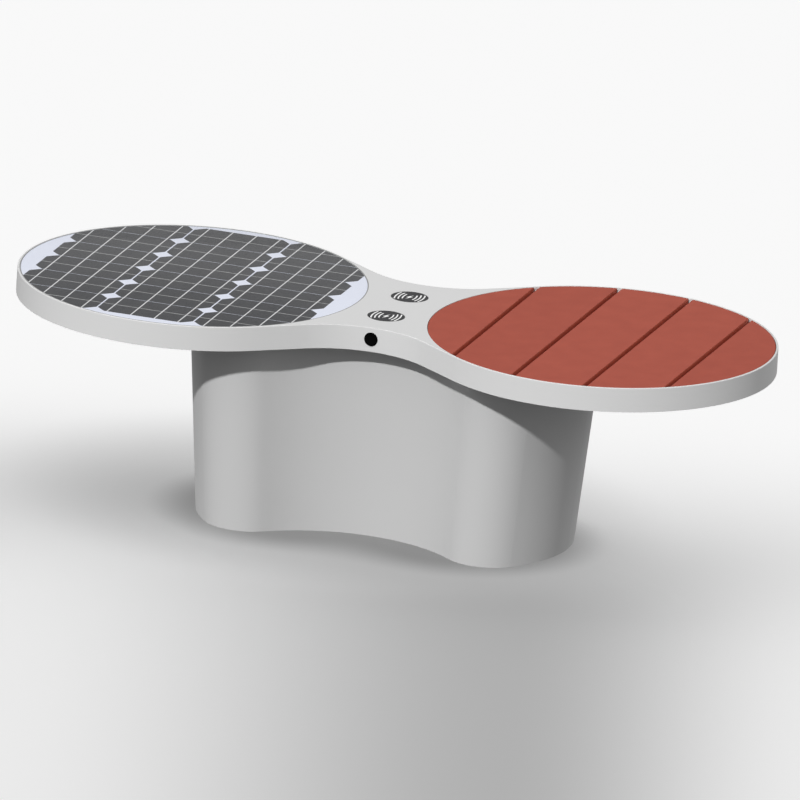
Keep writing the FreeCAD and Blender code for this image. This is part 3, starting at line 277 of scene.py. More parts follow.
# Light grey powder coat on the top, the pedestal and the service door. The copy on the pedestal and
# the door is a little darker: painted shade under the top
paint = {"topTones": ((0.608, 0.608, 0.607), (0.636, 0.636, 0.635)),
         "shadedPedestalTones": ((0.515, 0.515, 0.515), (0.545, 0.545, 0.545)), "cloudScale": 3.0,
         "peelScale": 650.0, "peelDepth": 0.00002, "roughness": 0.40, "roughnessChange": 0.10,
         "glossScale": 40.0}


def makePaint(name, tones):
    graph = Graph(name)
    color = graph.mix(graph.noise(paint["cloudScale"], 3), *paint[tones])
    roughness = graph.noise(paint["glossScale"]) * paint["roughnessChange"] + paint["roughness"]
    peel = graph.bump(graph.noise(paint["peelScale"]), 1.0, paint["peelDepth"])
    return graph.painted({"Base Color": color, "Roughness": roughness, "Normal": peel})


# Rust red composite boards: long fine grain, faint mottling, each board a little different. Their sides
# are a lighter red, painted light in the gaps between the boards
board = {"light": (0.385, 0.083, 0.053), "dark": (0.315, 0.064, 0.041),
         "sideLight": (0.56, 0.125, 0.07), "sideDark": (0.47, 0.095, 0.055), "sideRange": (0.2, 0.5),
         "pitch": 0.150, "firstSide": 0.055, "grainShift": (3.7, 1.9), "grainScale": 420.0,
         "grainStretch": 0.035, "grainHarshness": 0.65, "grainDepth": 0.00012, "grainStrength": 0.8,
         "mottleScale": 22.0, "fleckScale": 1500.0, "grainShare": 0.40, "mottleShare": 0.35,
         "fleckShare": 0.17, "boardShare": 0.08, "shadeRange": (0.25, 0.80), "roughness": 0.62,
         "roughnessChange": 0.15, "gloss": 0.25}


def makeBoard():
    look = board
    graph = Graph("compositeBoard")
    number = graph.math("FLOOR", (graph.axes()[0] - look["firstSide"]) / look["pitch"])
    offset = graph.node("ShaderNodeCombineXYZ", None, {
        "X": number * look["grainShift"][0], "Y": number * look["grainShift"][1]})
    moved = graph.node("ShaderNodeVectorMath", {"operation": "ADD"}, {0: graph.place, 1: offset})
    long = graph.scaled(1.0, look["grainStretch"], 1.0, moved)
    grain = graph.noise(look["grainScale"], 4, long, look["grainHarshness"])
    mottle = graph.noise(look["mottleScale"], 3, moved)
    fleck = graph.noise(look["fleckScale"], 1, moved)
    each = graph.node("ShaderNodeTexWhiteNoise", {"noise_dimensions": "1D"}, {"W": number})
    mixed = grain * look["grainShare"] + mottle * look["mottleShare"] + (
        fleck * look["fleckShare"]) + each * look["boardShare"]
    shade = graph.smooth(mixed, *look["shadeRange"])
    # Painted light: the boards' sides, seen in the gaps, take the lighter red tones
    paintedLightOnSides = 1.0 - graph.smooth(graph.math("ABSOLUTE", graph.upward()), *look["sideRange"])
    color = graph.mix(paintedLightOnSides, graph.mix(shade, look["dark"], look["light"]),
                      graph.mix(shade, look["sideDark"], look["sideLight"]))
    return graph.painted({
        "Base Color": color, "Roughness": grain * look["roughnessChange"] + look["roughness"],
        "Specular IOR Level": look["gloss"],
        "Normal": graph.bump(grain, look["grainStrength"], look["grainDepth"])})


# Solar cells: a pale line half way up each cell, fine fingers, each cell its own tint
cell = {"tones": ((0.030, 0.032, 0.036), (0.0435, 0.0445, 0.0485)), "tintShare": 0.6, "cloudScale": 9.0,
        "line": (0.54, 0.545, 0.545), "lineWidth": 0.0017, "lineBlur": 0.2, "finger": 0.0020,
        "fingerRange": (0.8, 1.0), "fingerTone": 0.004, "roughness": 0.40, "gloss": 0.2}


def makeCell():
    look = cell
    graph = Graph("solarCell")
    pattern = graph.node("ShaderNodeMapping", {"vector_type": "TEXTURE"}, {
        "Vector": graph.place, "Location": (panel["center"], 0.0, 0.0),
        "Rotation": (0.0, 0.0, math.radians(panel["turn"]))})
    x, y = graph.axes(pattern)[:2]
    column = graph.math("FLOOR", (x - panel["shift"][0]) / panel["pitch"][0] + 0.5)
    along = (y - panel["shift"][1]) / panel["pitch"][1]
    row = graph.math("FLOOR", along)
    fromMiddle = graph.math("ABSOLUTE", graph.math("FRACT", along) - 0.5) * panel["pitch"][1]
    half = look["lineWidth"] / 2
    onLine = 1.0 - graph.smooth(fromMiddle, half * (1 - look["lineBlur"]), half * (1 + look["lineBlur"]))
    tint = graph.node("ShaderNodeTexWhiteNoise", {"noise_dimensions": "2D"},
                      {"Vector": graph.node("ShaderNodeCombineXYZ", None, {"X": column, "Y": row})})
    cloud = graph.noise(look["cloudScale"])
    dark = graph.mix(tint * look["tintShare"] + cloud * (1 - look["tintShare"]), *look["tones"])
    finger = graph.math("PINGPONG", y, look["finger"] / 2) / (look["finger"] / 2)
    fingers = graph.mix(graph.smooth(finger, *look["fingerRange"]), grey(0.0), grey(look["fingerTone"]))
    ruled = graph.mix(1.0, dark, fingers, "ADD")
    return graph.painted({"Base Color": graph.mix(onLine, ruled, look["line"]),
                          "Roughness": look["roughness"], "Specular IOR Level": look["gloss"]})


# Glass over the cells: clear, with a soft reflection that grows at a low angle; its rim is ground
glass = {"ior": 1.45, "reflection": 0.36, "roughness": 0.12, "rimAlpha": 0.75,
         "rimTone": (0.55, 0.58, 0.58), "rimRange": (0.3, 0.6)}


def makeGlass():
    graph = Graph("panelGlass")
    fromBehind = graph.node("ShaderNodeNewGeometry", output="Backfacing")
    rim = 1.0 - graph.smooth(graph.math("ABSOLUTE", graph.upward()), *glass["rimRange"])
    fresnel = graph.node("ShaderNodeFresnel", None, {"IOR": glass["ior"]})
    mirror = fresnel * glass["reflection"] * (1.0 - fromBehind)
    return graph.painted({
        "Base Color": graph.mix(rim, grey(1.0), glass["rimTone"]), "Metallic": 1.0 - rim,
        "Roughness": glass["roughness"], "Alpha": mirror * (1.0 - rim) + rim * glass["rimAlpha"]})


# Bluish white laminate behind the cells, and the tinned ribbons along them
laminate = {"tones": ((0.685, 0.715, 0.815), (0.73, 0.76, 0.86)), "cloudScale": 8.0, "weaveScale": 700.0,
            "weaveDepth": 0.00004, "weaveStrength": 0.3, "roughness": 0.5}
ribbon = {"tones": ((0.64, 0.645, 0.655), (0.74, 0.745, 0.755)), "scale": 300.0, "stretch": 0.1,
          "metallic": 0.1, "roughness": 0.35, "roughnessChange": 0.2}


def makeLaminate():
    graph = Graph("backsheetLaminate")
    weave = graph.noise(laminate["weaveScale"], 1)
    return graph.painted({
        "Base Color": graph.mix(graph.noise(laminate["cloudScale"]), *laminate["tones"]),
        "Roughness": laminate["roughness"],
        "Normal": graph.bump(weave, laminate["weaveStrength"], laminate["weaveDepth"])})


def makeRibbon():
    graph = Graph("tinnedRibbon")
    shade = graph.noise(ribbon["scale"], 2, graph.scaled(1.0, ribbon["stretch"], 1.0))
    return graph.painted({
        "Base Color": graph.mix(shade, *ribbon["tones"]), "Metallic": ribbon["metallic"],
        "Roughness": shade * ribbon["roughnessChange"] + ribbon["roughness"]})


# Plastics, rubber and the like share one recipe: two close tones, a moulded grain, a roughness
moulded = {"cloudStep": 30, "roughnessChange": 0.12, "strength": 0.7, "gloss": 0.5}
plastics = {
    "padCover": {"tones": ((0.037, 0.037, 0.039), (0.048, 0.048, 0.050)), "grain": 1800.0, "depth": 0.00003,
                 "roughness": 0.48, "gloss": 0.16},
    "symbolWhite": {"tones": ((0.86, 0.86, 0.855), (0.91, 0.91, 0.905)), "grain": 900.0, "depth": 0.00001,
                    "roughness": 0.45},
    "blackPlastic": {"tones": ((0.010, 0.010, 0.011), (0.018, 0.018, 0.019)), "grain": 1600.0,
                     "depth": 0.00003, "roughness": 0.38},
    "blackRubber": {"tones": ((0.014, 0.014, 0.014), (0.024, 0.024, 0.023)), "grain": 900.0,
                    "depth": 0.00005, "roughness": 0.68},
    "gasketGrey": {"tones": ((0.24, 0.24, 0.24), (0.30, 0.30, 0.295)), "grain": 900.0, "depth": 0.00004,
                   "roughness": 0.65, "gloss": 0.3},
    "bootRed": {"tones": ((0.36, 0.014, 0.011), (0.44, 0.022, 0.016)), "grain": 1000.0, "depth": 0.00003,
                "roughness": 0.50},
    "faceplate": {"tones": ((0.10, 0.11, 0.12), (0.13, 0.14, 0.15)), "grain": 1500.0, "depth": 0.00002,
                  "roughness": 0.42},
    "displayGlass": {"tones": ((0.10, 0.14, 0.09), (0.13, 0.17, 0.11)), "grain": 200.0, "depth": 0.000002,
                     "roughness": 0.12},
    "lampGreen": {"tones": ((0.02, 0.42, 0.07), (0.03, 0.50, 0.09)), "grain": 500.0, "depth": 0.000005,
                  "roughness": 0.18},
    "phenolicBoard": {"tones": ((0.035, 0.024, 0.017), (0.055, 0.038, 0.027)), "grain": 300.0,
                      "depth": 0.00008, "roughness": 0.50},
    "ferrite": {"tones": ((0.045, 0.045, 0.047), (0.075, 0.074, 0.073)), "grain": 1400.0, "depth": 0.00005,
                "roughness": 0.75},
    "socketBlack": {"tones": ((0.0012, 0.0012, 0.0012), (0.0022, 0.0022, 0.0022)), "grain": 1600.0,
                    "depth": 0.00003, "roughness": 0.50, "gloss": 0.06},
    "batteryCase": {"tones": ((0.034, 0.036, 0.040), (0.048, 0.050, 0.056)), "grain": 1100.0,
                    "depth": 0.00006, "roughness": 0.52},
    "batteryLid": {"tones": ((0.060, 0.064, 0.072), (0.078, 0.083, 0.092)), "grain": 1100.0,
                   "depth": 0.00006, "roughness": 0.48},
}


def makePlastic(name):
    look = plastics[name]
    graph = Graph(name)
    grain = graph.noise(look["grain"])
    return graph.painted({
        "Base Color": graph.mix(graph.noise(look["grain"] / moulded["cloudStep"], 3), *look["tones"]),
        "Roughness": grain * moulded["roughnessChange"] + look["roughness"],
        "Specular IOR Level": look.get("gloss", moulded["gloss"]),
        "Normal": graph.bump(grain, moulded["strength"], look["depth"])})


# Metals: a tone range, a roughness and a texture, which may be drawn out along one axis
machined = {"roughnessChange": 0.15, "strength": 0.6, "stretch": (1.0, 1.0, 1.0)}
metals = {
    "blackSteel": {"tones": ((0.004, 0.004, 0.0045), (0.007, 0.007, 0.0075)), "scale": 900.0,
                   "roughness": 0.45, "depth": 0.00001},
    "zincPlate": {"tones": ((0.52, 0.53, 0.52), (0.66, 0.66, 0.62)), "scale": 90.0, "roughness": 0.30,
                  "depth": 0.00002},
    "stainless": {"tones": ((0.52, 0.52, 0.51), (0.64, 0.64, 0.63)), "scale": 900.0,
                  "stretch": (1.0, 1.0, 0.05), "roughness": 0.28, "depth": 0.00001},
    "lockChrome": {"tones": ((0.70, 0.70, 0.71), (0.78, 0.78, 0.79)), "scale": 300.0, "roughness": 0.10,
                   "depth": 0.000004},
    "contactGold": {"tones": ((0.74, 0.50, 0.20), (0.84, 0.60, 0.28)), "scale": 900.0, "roughness": 0.22,
                    "depth": 0.000003},
    "anodised": {"tones": ((0.24, 0.25, 0.27), (0.30, 0.31, 0.33)), "scale": 700.0,
                 "stretch": (1.0, 1.0, 0.04), "roughness": 0.42, "depth": 0.00001},
}


def makeMetal(name):
    look = metals[name]
    graph = Graph(name)
    streak = graph.noise(look["scale"], 3, graph.scaled(*look.get("stretch", machined["stretch"])))
    return graph.painted({
        "Base Color": graph.mix(streak, *look["tones"]), "Metallic": 1.0,
        "Roughness": streak * machined["roughnessChange"] + look["roughness"],
        "Normal": graph.bump(streak, machined["strength"], look["depth"])})


# Hot-dip galvanised sheet: spangles of different brightness and gloss
galvanised = {"spangle": 70.0, "spangleShare": 0.75, "fineScale": 500.0, "roughness": 0.38,
              "tones": ((0.40, 0.41, 0.42), (0.60, 0.61, 0.62)), "roughnessChange": 0.22, "depth": 0.00003,
              "strength": 0.4}


def makeGalvanised():
    look = galvanised
    graph = Graph("galvanised")
    crystal = graph.node("ShaderNodeTexVoronoi", {"feature": "F1"},
                         {"Vector": graph.place, "Scale": look["spangle"]}, output="Color")
    bright = graph.node("ShaderNodeSeparateColor", None, {"Color": crystal})
    tone = bright * look["spangleShare"] + graph.noise(look["fineScale"], 3) * (1 - look["spangleShare"])
    return graph.painted({
        "Base Color": graph.mix(tone, *look["tones"]), "Metallic": 1.0,
        "Roughness": tone * look["roughnessChange"] + look["roughness"],
        "Normal": graph.bump(tone, look["strength"], look["depth"])})


# Charging coils: enamelled wire wound flat round each pad's middle
coil = {"center": 0.075, "pitch": 0.0012, "tones": ((0.30, 0.10, 0.045), (0.72, 0.34, 0.19)),
        "shadow": 0.6, "metallic": 0.9, "roughness": 0.30, "depth": 0.0004}


def makeCoil():
    graph = Graph("woundCopper")
    x, y = graph.axes()[:2]
    along = graph.math("ABSOLUTE", y) - coil["center"]
    radius = graph.math("SQRT", x * x + along * along)
    wire = graph.math("PINGPONG", radius, coil["pitch"] / 2) / (coil["pitch"] / 2)
    return graph.painted({
        "Base Color": graph.mix(graph.smooth(wire, 0.0, coil["shadow"]), *coil["tones"]),
        "Metallic": coil["metallic"], "Roughness": coil["roughness"],
        "Normal": graph.bump(wire, 1.0, coil["depth"])})


# Lead jackets: black, apart from the battery's red lead on the left
leads = {"black": (0.012, 0.012, 0.013), "worn": (0.05, 0.05, 0.05), "wornShare": 0.3,
         "red": (0.42, 0.018, 0.014), "redSide": (-0.026, -0.024), "grain": 1200.0, "roughness": 0.42,
         "roughnessChange": 0.1, "depth": 0.00003, "strength": 0.5}


def makeJacket(name, paired):
    graph = Graph(name)
    matt = graph.noise(leads["grain"])
    color = graph.mix(matt * leads["wornShare"], leads["black"], leads["worn"])
    if paired:
        onLeft = 1.0 - graph.smooth(graph.axes()[0], *leads["redSide"])
        color = graph.mix(onLeft, color, leads["red"])
    return graph.painted({
        "Base Color": color, "Roughness": matt * leads["roughnessChange"] + leads["roughness"],
        "Normal": graph.bump(matt, leads["strength"], leads["depth"])})


materials = {"topPaint": makePaint("topPaint", "topTones"),
             # The pedestal's paint is the darker copy: painted shade under the top
             "shadedPedestalPaint": makePaint("shadedPedestalPaint", "shadedPedestalTones"),
             "compositeBoard": makeBoard(), "solarCell": makeCell(), "panelGlass": makeGlass(),
             "laminate": makeLaminate(), "ribbon": makeRibbon(), "galvanised": makeGalvanised(),
             "woundCopper": makeCoil(), "blackJacket": makeJacket("blackJacket", False),
             "pairedJacket": makeJacket("pairedJacket", True)}
for name in plastics:
    materials[name] = makePlastic(name)
for name in metals:
    materials[name] = makeMetal(name)
slotMaterials = {
    "shell_paint": "shadedPedestalPaint", "galvanised_steel": "galvanised", "zinc_fastener": "zincPlate",
    "seat_board": "compositeBoard", "panel_board": "phenolicBoard", "backsheet": "laminate",
    "solar_cell": "solarCell", "cell_ribbon": "ribbon", "panel_glass": "panelGlass",
    "black_rubber": "blackRubber", "black_plastic": "blackPlastic", "pad_cover": "padCover",
    "coil_copper": "woundCopper", "ferrite": "ferrite", "stainless": "stainless",
    "lock_chrome": "lockChrome", "unit_aluminium": "anodised", "lead_jacket": "blackJacket"}
ownMaterials = {"top_shell": "topPaint", "battery": "batteryCase", "usb_bezel": "socketBlack",
                "usb_lid": "socketBlack", "usb_lid_pin": "blackSteel", "usb_lid_spring": "blackSteel",
                "panel_gasket": "gasketGrey", "battery_leads": "pairedJacket"}
for part in frame["record"]["subparts"]:
    piece = nodes[part["node"]]
    keyLit.objects.link(piece)
    piece.data.materials.clear()
    piece.data.materials.append(
        materials[ownMaterials.get(part["node"], slotMaterials[part["material_slot"]])])
print("materials ready:", len(materials))

# New pieces are shaped in bmesh and ride on a CAD body
finishing = {"smoothAngle": 35, "weld": 1e-7, "edgeSteps": 2}


def addPiece(name, bm, material, body, replaces=()):
    bmesh.ops.recalc_face_normals(bm, faces=bm.faces)
    mesh = bpy.data.meshes.new(name)
    bm.to_mesh(mesh)
    bm.free()
    for face in mesh.polygons:
        face.use_smooth = True
    mesh.set_sharp_from_angle(angle=math.radians(finishing["smoothAngle"]))
    mesh.materials.append(materials[material])
    piece = bpy.data.objects.new(name, mesh)
    bpy.context.scene.collection.objects.link(piece)
    keyLit.objects.link(piece)
    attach(piece, body)
    if replaces:
        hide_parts(*replaces)


def spread(count, pitch):
    return [(number - (count - 1) / 2) * pitch for number in range(count)]


def newVerts(bm, before):
    return [vert for vert in bm.verts if vert not in before]


def newFaces(bm, before):
    return [face for face in bm.faces if face not in before]


def turned(bm, profile, center=(0, 0, 0), steps=24):
    made = [bm.verts.new(Vector(center) + Vector((radius, 0, height))) for radius, height in profile]
    line = [bm.edges.new(ends) for ends in zip(made, made[1:])]
    bmesh.ops.spin(bm, geom=made + line, cent=center, axis=(0, 0, 1), angle=math.tau, steps=steps,
                   use_merge=True)
    bmesh.ops.remove_doubles(bm, verts=bm.verts, dist=finishing["weld"])


def raiseFaces(bm, height, faces=None, way=Vector((0, 0, 1))):
    raised = bmesh.ops.extrude_face_region(bm, geom=faces or bm.faces[:])["geom"]
    moved = [item for item in raised if isinstance(item, bmesh.types.BMVert)]
    bmesh.ops.translate(bm, vec=way * height, verts=moved)
    return moved


def roundEdges(bm, lines, offset):
    bmesh.ops.bevel(bm, geom=lines, offset=offset, affect="EDGES", segments=finishing["edgeSteps"],
                    profile=0.5, material=-1)


def rectangle(bm, x, y, z, width, depth):
    return bmesh.ops.create_grid(bm, x_segments=1, y_segments=1, size=0.5, matrix=Matrix.Translation(
        (x, y, z)) @ Matrix.Diagonal((width, depth, 1, 1)))["verts"]


def block(bm, corner, opposite, edge=0.0):
    low = Vector([min(pair) for pair in zip(corner, opposite)])
    high = Vector([max(pair) for pair in zip(corner, opposite)])
    made = bmesh.ops.create_cube(bm, size=1, matrix=Matrix.Translation((low + high) / 2) @ Matrix.Diagonal(
        (*(high - low), 1)))["verts"]
    if edge:
        roundEdges(bm, list({line for vert in made for line in vert.link_edges}), edge)


def panelDisc(bottom, top, edge=0.0):
    bm = bmesh.new()
    bmesh.ops.create_circle(bm, cap_ends=True, radius=panel["radius"], segments=panel["segments"],
                            matrix=Matrix.Translation((panel["center"], 0, bottom)))
    raised = set(raiseFaces(bm, top - bottom))
    if edge:
        roundEdges(bm, [line for line in bm.edges if raised.issuperset(line.verts)], edge)
    return bm


# Turns the cell pattern a little and cuts it off at the panel's round edge
def fitPattern(bm):
    bmesh.ops.rotate(bm, cent=(panel["center"], 0, 0), verts=bm.verts,
                     matrix=Matrix.Rotation(math.radians(panel["turn"]), 3, "Z"))
    for side in range(panel["clipSides"]):
        angle = math.tau * side / panel["clipSides"]
        outward = Vector((math.cos(angle), math.sin(angle), 0))
        bmesh.ops.bisect_plane(bm, geom=bm.verts[:] + bm.edges[:] + bm.faces[:], dist=finishing["weld"],
                               plane_co=Vector((panel["center"], 0, 0)) + outward * panel["cellRadius"],
                               plane_no=outward, clear_outer=True)


def makePanel():
    look = panel
    addPiece("panelLaminate", panelDisc(look["bottom"], look["laminateTop"]), "laminate", "root",
             ("panel_backsheet",))
    addPiece("panelGlassFace", panelDisc(look["glassBottom"], look["top"], look["edge"]), "panelGlass",
             "root", ("panel_glass",))
    pitchX, pitchY = look["pitch"]
    middleX, middleY = look["center"] + look["shift"][0], look["shift"][1]
    bm = bmesh.new()
    for x in spread(look["columns"], pitchX):
        for y in spread(look["rows"], pitchY):
            corners = rectangle(bm, middleX + x, middleY + y, look["laminateTop"],
                                pitchX - look["seam"][0], pitchY - look["seam"][1])
            bmesh.ops.bevel(bm, geom=corners, offset=look["chamfer"], affect="VERTICES",
                            segments=look["chamferSteps"], profile=look["chamferRound"], material=-1)
    fitPattern(bm)
    raiseFaces(bm, look["cellThickness"])
    addPiece("panelCells", bm, "solarCell", "root", ("solar_cells",))
    bm = bmesh.new()
    for column in spread(look["columns"], pitchX):
        for x in spread(look["ribbonsPerCell"], look["ribbonPitch"]):
            rectangle(bm, middleX + column + x, middleY, look["laminateTop"] + look["cellThickness"],
                      look["ribbonWidth"], look["rows"] * pitchY)
    fitPattern(bm)
    raiseFaces(bm, look["ribbonThickness"])
    addPiece("panelRibbons", bm, "ribbon", "root", ("cell_ribbons",))


makePanel()
print("solar panel ready")

# Charging pads: a disc with a shallow dished face and a soft edge, and a symbol that stands on the face.
# Each arc of the symbol: how far out it reaches, its radius, half its angle
pad = {"offset": 0.075, "radius": 0.0375, "flange": 0.044, "bottom": 0.444, "shoulder": 0.446, "top": 0.450,
       "edge": (0.0004, 0.0005), "rim": 0.0010, "dish": 0.0004, "slope": 0.0005, "steps": 96,
       "stroke": 0.0027, "inlay": 0.0003, "arcSteps": 20,
       "arcs": ((0.0281, 0.085, 16.0), (0.0205, 0.072, 17.5), (0.0127, 0.062, 14.5)),
       "bolt": ((0.0040, 0.0140), (-0.0058, -0.0026), (-0.0010, -0.0026), (-0.0040, -0.0140),
                (0.0058, 0.0026), (0.0010, 0.0026))}


def makePad(side, name):
    look = pad
    center = Vector((0, side * look["offset"], 0))
    radius, top, face = look["radius"], look["top"], look["top"] - look["dish"]
    inner = radius - look["rim"]
    bm = bmesh.new()
    turned(bm, [(0, look["bottom"]), (look["flange"], look["bottom"]), (look["flange"], look["shoulder"]),
                (radius, look["shoulder"]), (radius, top - look["edge"][1]),
                (radius - look["edge"][0], top), (inner, top), (inner - look["slope"], face), (0, face)],
           center, look["steps"])
    addPiece("chargingPad" + name, bm, "padCover", "root", ("charger_cover_" + name.lower(),))
    bm = bmesh.new()
    for reach, bend, half in look["arcs"]:
        for turn in (0, 180):
            turning = Matrix.Rotation(math.radians(turn), 4, "Z")
            middle = center + turning @ Vector((reach - bend, 0, face))
            start = turning @ Matrix.Rotation(math.radians(-half), 4, "Z")
            ends = [bm.verts.new(middle + start @ Vector((bend + across, 0, 0)))
                    for across in (-look["stroke"] / 2, look["stroke"] / 2)]
            bmesh.ops.spin(bm, geom=ends + [bm.edges.new(ends)], cent=middle, axis=(0, 0, 1),
                           angle=math.radians(2 * half), steps=look["arcSteps"])
    bm.faces.new([bm.verts.new(center + Vector((x, y, face))) for x, y in look["bolt"]])
    raiseFaces(bm, look["inlay"])
    addPiece("padSymbol" + name, bm, "symbolWhite", "root")


makePad(-1, "Front")
makePad(1, "Rear")
print("charging pads ready")

# Battery behind the hatch: a lid in two halves beside the strap, each with a vent cover, ribs on its rear
# and ends, and a boot with a sleeve on each terminal
battery = {"halfX": 0.1145, "front": -0.086, "rear": 0.052, "top": 0.219, "strapGap": 0.0145,
           "lidDepth": 0.027, "lidLap": 0.0005, "lidProud": 0.0010, "lidRise": 0.0007, "lidEdge": 0.0012,
           "vent": ((0.024, -0.052), (0.068, -0.018)), "ventRise": 0.0022, "ventEdge": 0.0009,
           "ventInset": 0.005, "ventStep": 0.0008, "ventStepEdge": 0.0005,
           "ribs": 8, "ribStart": 0.021, "ribPitch": 0.0122, "ribWidth": 0.0032, "ribProud": 0.0009,
           "ribSink": 0.001, "ribEdge": 0.0004, "ribRange": (0.022, 0.184), "endRibStart": 0.014,
           "endRibPitch": 0.0155, "endRibRange": (0.034, 0.184), "post": (0.085, 0.025),
           "boot": ((0.0, 0.2194), (0.0100, 0.2194), (0.0100, 0.2214), (0.0088, 0.2234), (0.0088, 0.2300),
                    (0.0070, 0.2330), (0.0030, 0.2344), (0.0, 0.2344)), "bootSteps": 48,
           "sleeve": {"wide": 0.0052, "narrow": 0.0036, "length": 0.0155, "start": 0.006, "height": 0.225,
                      "sides": 32}}


def makeBatteryLid():
    look = battery
    bm = bmesh.new()
    (nearX, frontY), (farX, rearY) = look["vent"]
    inset, coverTop = look["ventInset"], look["top"] + look["ventRise"]
    for side in (-1, 1):
        block(bm, (side * look["strapGap"], look["front"] - look["lidLap"], look["top"] - look["lidDepth"]),
              (side * (look["halfX"] + look["lidProud"]), look["rear"] + look["lidProud"],
               look["top"] + look["lidRise"]), look["lidEdge"])
        block(bm, (side * nearX, frontY, look["top"]), (side * farX, rearY, coverTop), look["ventEdge"])
        block(bm, (side * (nearX + inset), frontY + inset, look["top"]),
              (side * (farX - inset), rearY - inset, coverTop + look["ventStep"]), look["ventStepEdge"])
    addPiece("batteryLid", bm, "batteryLid", "root")


def makeBatteryRibs():
    look = battery
    half, rear, end = look["ribWidth"] / 2, look["rear"], look["halfX"]
    bm = bmesh.new()
    for side in (-1, 1):
        for number in range(look["ribs"]):
            x = side * (look["ribStart"] + number * look["ribPitch"])
            block(bm, (x - half, rear - look["ribSink"], look["ribRange"][0]),
                  (x + half, rear + look["ribProud"], look["ribRange"][1]), look["ribEdge"])
            y = look["front"] + look["endRibStart"] + number * look["endRibPitch"]
            block(bm, (side * (end - look["ribSink"]), y - half, look["endRibRange"][0]),
                  (side * (end + look["ribProud"]), y + half, look["endRibRange"][1]), look["ribEdge"])
    addPiece("batteryRibs", bm, "batteryCase", "root")


def makeBoot(side, name, material):
    x, y = side * battery["post"][0], battery["post"][1]
    sleeve = battery["sleeve"]
    bm = bmesh.new()
    turned(bm, battery["boot"], (x, y, 0), battery["bootSteps"])
    middle = Vector((x, y - sleeve["start"] - sleeve["length"] / 2, sleeve["height"]))
    bmesh.ops.create_cone(bm, cap_ends=True, segments=sleeve["sides"], radius1=sleeve["wide"],
                          radius2=sleeve["narrow"], depth=sleeve["length"],
                          matrix=Matrix.Translation(middle) @ Matrix.Rotation(math.pi / 2, 4, "X"))
    addPiece(name, bm, material, "root")


makeBatteryLid()
makeBatteryRibs()
makeBoot(-1, "terminalBootRed", "bootRed")
makeBoot(1, "terminalBootBlack", "blackRubber")

# Glands stand where the leads enter the units: x and z of each one, by the way it points
gland = {"line": -0.076, "profile": ((0.0027, 0.0), (0.0066, 0.0), (0.0066, 0.0034), (0.0054, 0.0042),
                                     (0.0054, 0.0076), (0.0044, 0.0090), (0.0027, 0.0090), (0.0027, 0.0)),
         "down": ((-0.060, 0.268), (0.010, 0.268)), "left": ((-0.090, 0.308),),
         "up": ((0.080, 0.3149), (0.100, 0.3149), (0.122, 0.3149))}


def turnedAt(bm, profile, place, turning):
    before = set(bm.verts)
    turned(bm, profile)
    bmesh.ops.transform(bm, matrix=Matrix.Translation(place) @ turning, verts=newVerts(bm, before))


def makeGlands():
    bm = bmesh.new()
    for way, turning in (("down", Matrix.Rotation(math.pi, 4, "X")), ("up", Matrix.Identity(4)),
                         ("left", Matrix.Rotation(-math.pi / 2, 4, "Y"))):
        for x, z in gland[way]:
            turnedAt(bm, gland["profile"], (x, gland["line"], z), turning)
    addPiece("leadGlands", bm, "blackPlastic", "root")


# The controller's front: a plate with a display, and lamps, buttons and screws turned from one profile
faceplate = {"face": -0.058, "thick": 0.0014, "lap": 0.001, "edge": 0.0006, "x": (-0.054, 0.016),
             "z": (0.286, 0.330), "display": ((-0.048, 0.303), (-0.010, 0.324)), "displaySink": 0.0005,
             "displayRise": 0.0004, "displayEdge": 0.0002, "lamp": {"radius": 0.0016, "rise": 0.0012},
             "lamps": ((-0.046, 0.2945), (-0.038, 0.2945), (-0.030, 0.2945)),
             "button": {"radius": 0.0036, "rise": 0.0018}, "buttons": ((0.000, 0.314), (0.000, 0.300)),
             "screw": {"radius": 0.0018, "rise": 0.0010},
             "screws": ((-0.051, 0.327), (0.013, 0.327), (-0.051, 0.289), (0.013, 0.289)),
             "sink": 0.0004, "shoulder": 0.6, "crown": 0.75}


def makeKnobs(name, places, shape, material):
    look = faceplate
    radius, rise = shape["radius"], shape["rise"]
    profile = [(0, -look["sink"]), (radius, -look["sink"]), (radius, rise * look["shoulder"]),
               (radius * look["crown"], rise), (0, rise)]
    bm = bmesh.new()
    for x, z in places:
        turnedAt(bm, profile, (x, look["face"] + look["thick"], z), Matrix.Rotation(-math.pi / 2, 4, "X"))
    addPiece(name, bm, material, "root")


def makeFaceplate():
    look = faceplate
    front = look["face"] + look["thick"]
    (leftX, lowZ), (rightX, highZ) = look["display"]
    bm = bmesh.new()
    block(bm, (look["x"][0], look["face"] - look["lap"], look["z"][0]), (look["x"][1], front, look["z"][1]),
          look["edge"])
    addPiece("controllerFaceplate", bm, "faceplate", "root")
    bm = bmesh.new()
    block(bm, (leftX, front - look["displaySink"], lowZ), (rightX, front + look["displayRise"], highZ),
          look["displayEdge"])
    addPiece("controllerDisplay", bm, "displayGlass", "root")
    makeKnobs("controllerLamps", look["lamps"], look["lamp"], "lampGreen")
    makeKnobs("controllerButtons", look["buttons"], look["button"], "blackRubber")
    makeKnobs("faceplateScrews", look["screws"], look["screw"], "zincPlate")


# Ports of the socket: folded metal shells in their slots, and contacts on the tongues
ports = {"face": -0.16725, "wall": 0.00035, "cornerSteps": 5,
         "shells": ({"width": 0.01240, "height": 0.00500, "z": 0.4292, "depth": 0.0092, "corner": 0.0003},
                    {"width": 0.00890, "height": 0.00310, "z": 0.4216, "depth": 0.0074, "corner": 0.0014}),
         "rows": ({"count": 4, "pitch": 0.0025, "width": 0.0011, "z": 0.43020},
                  {"count": 6, "pitch": 0.0010, "width": 0.0005, "z": 0.42205}),
         "contactStart": -0.1655, "contactLength": 0.0060, "contactHalf": 0.0001}


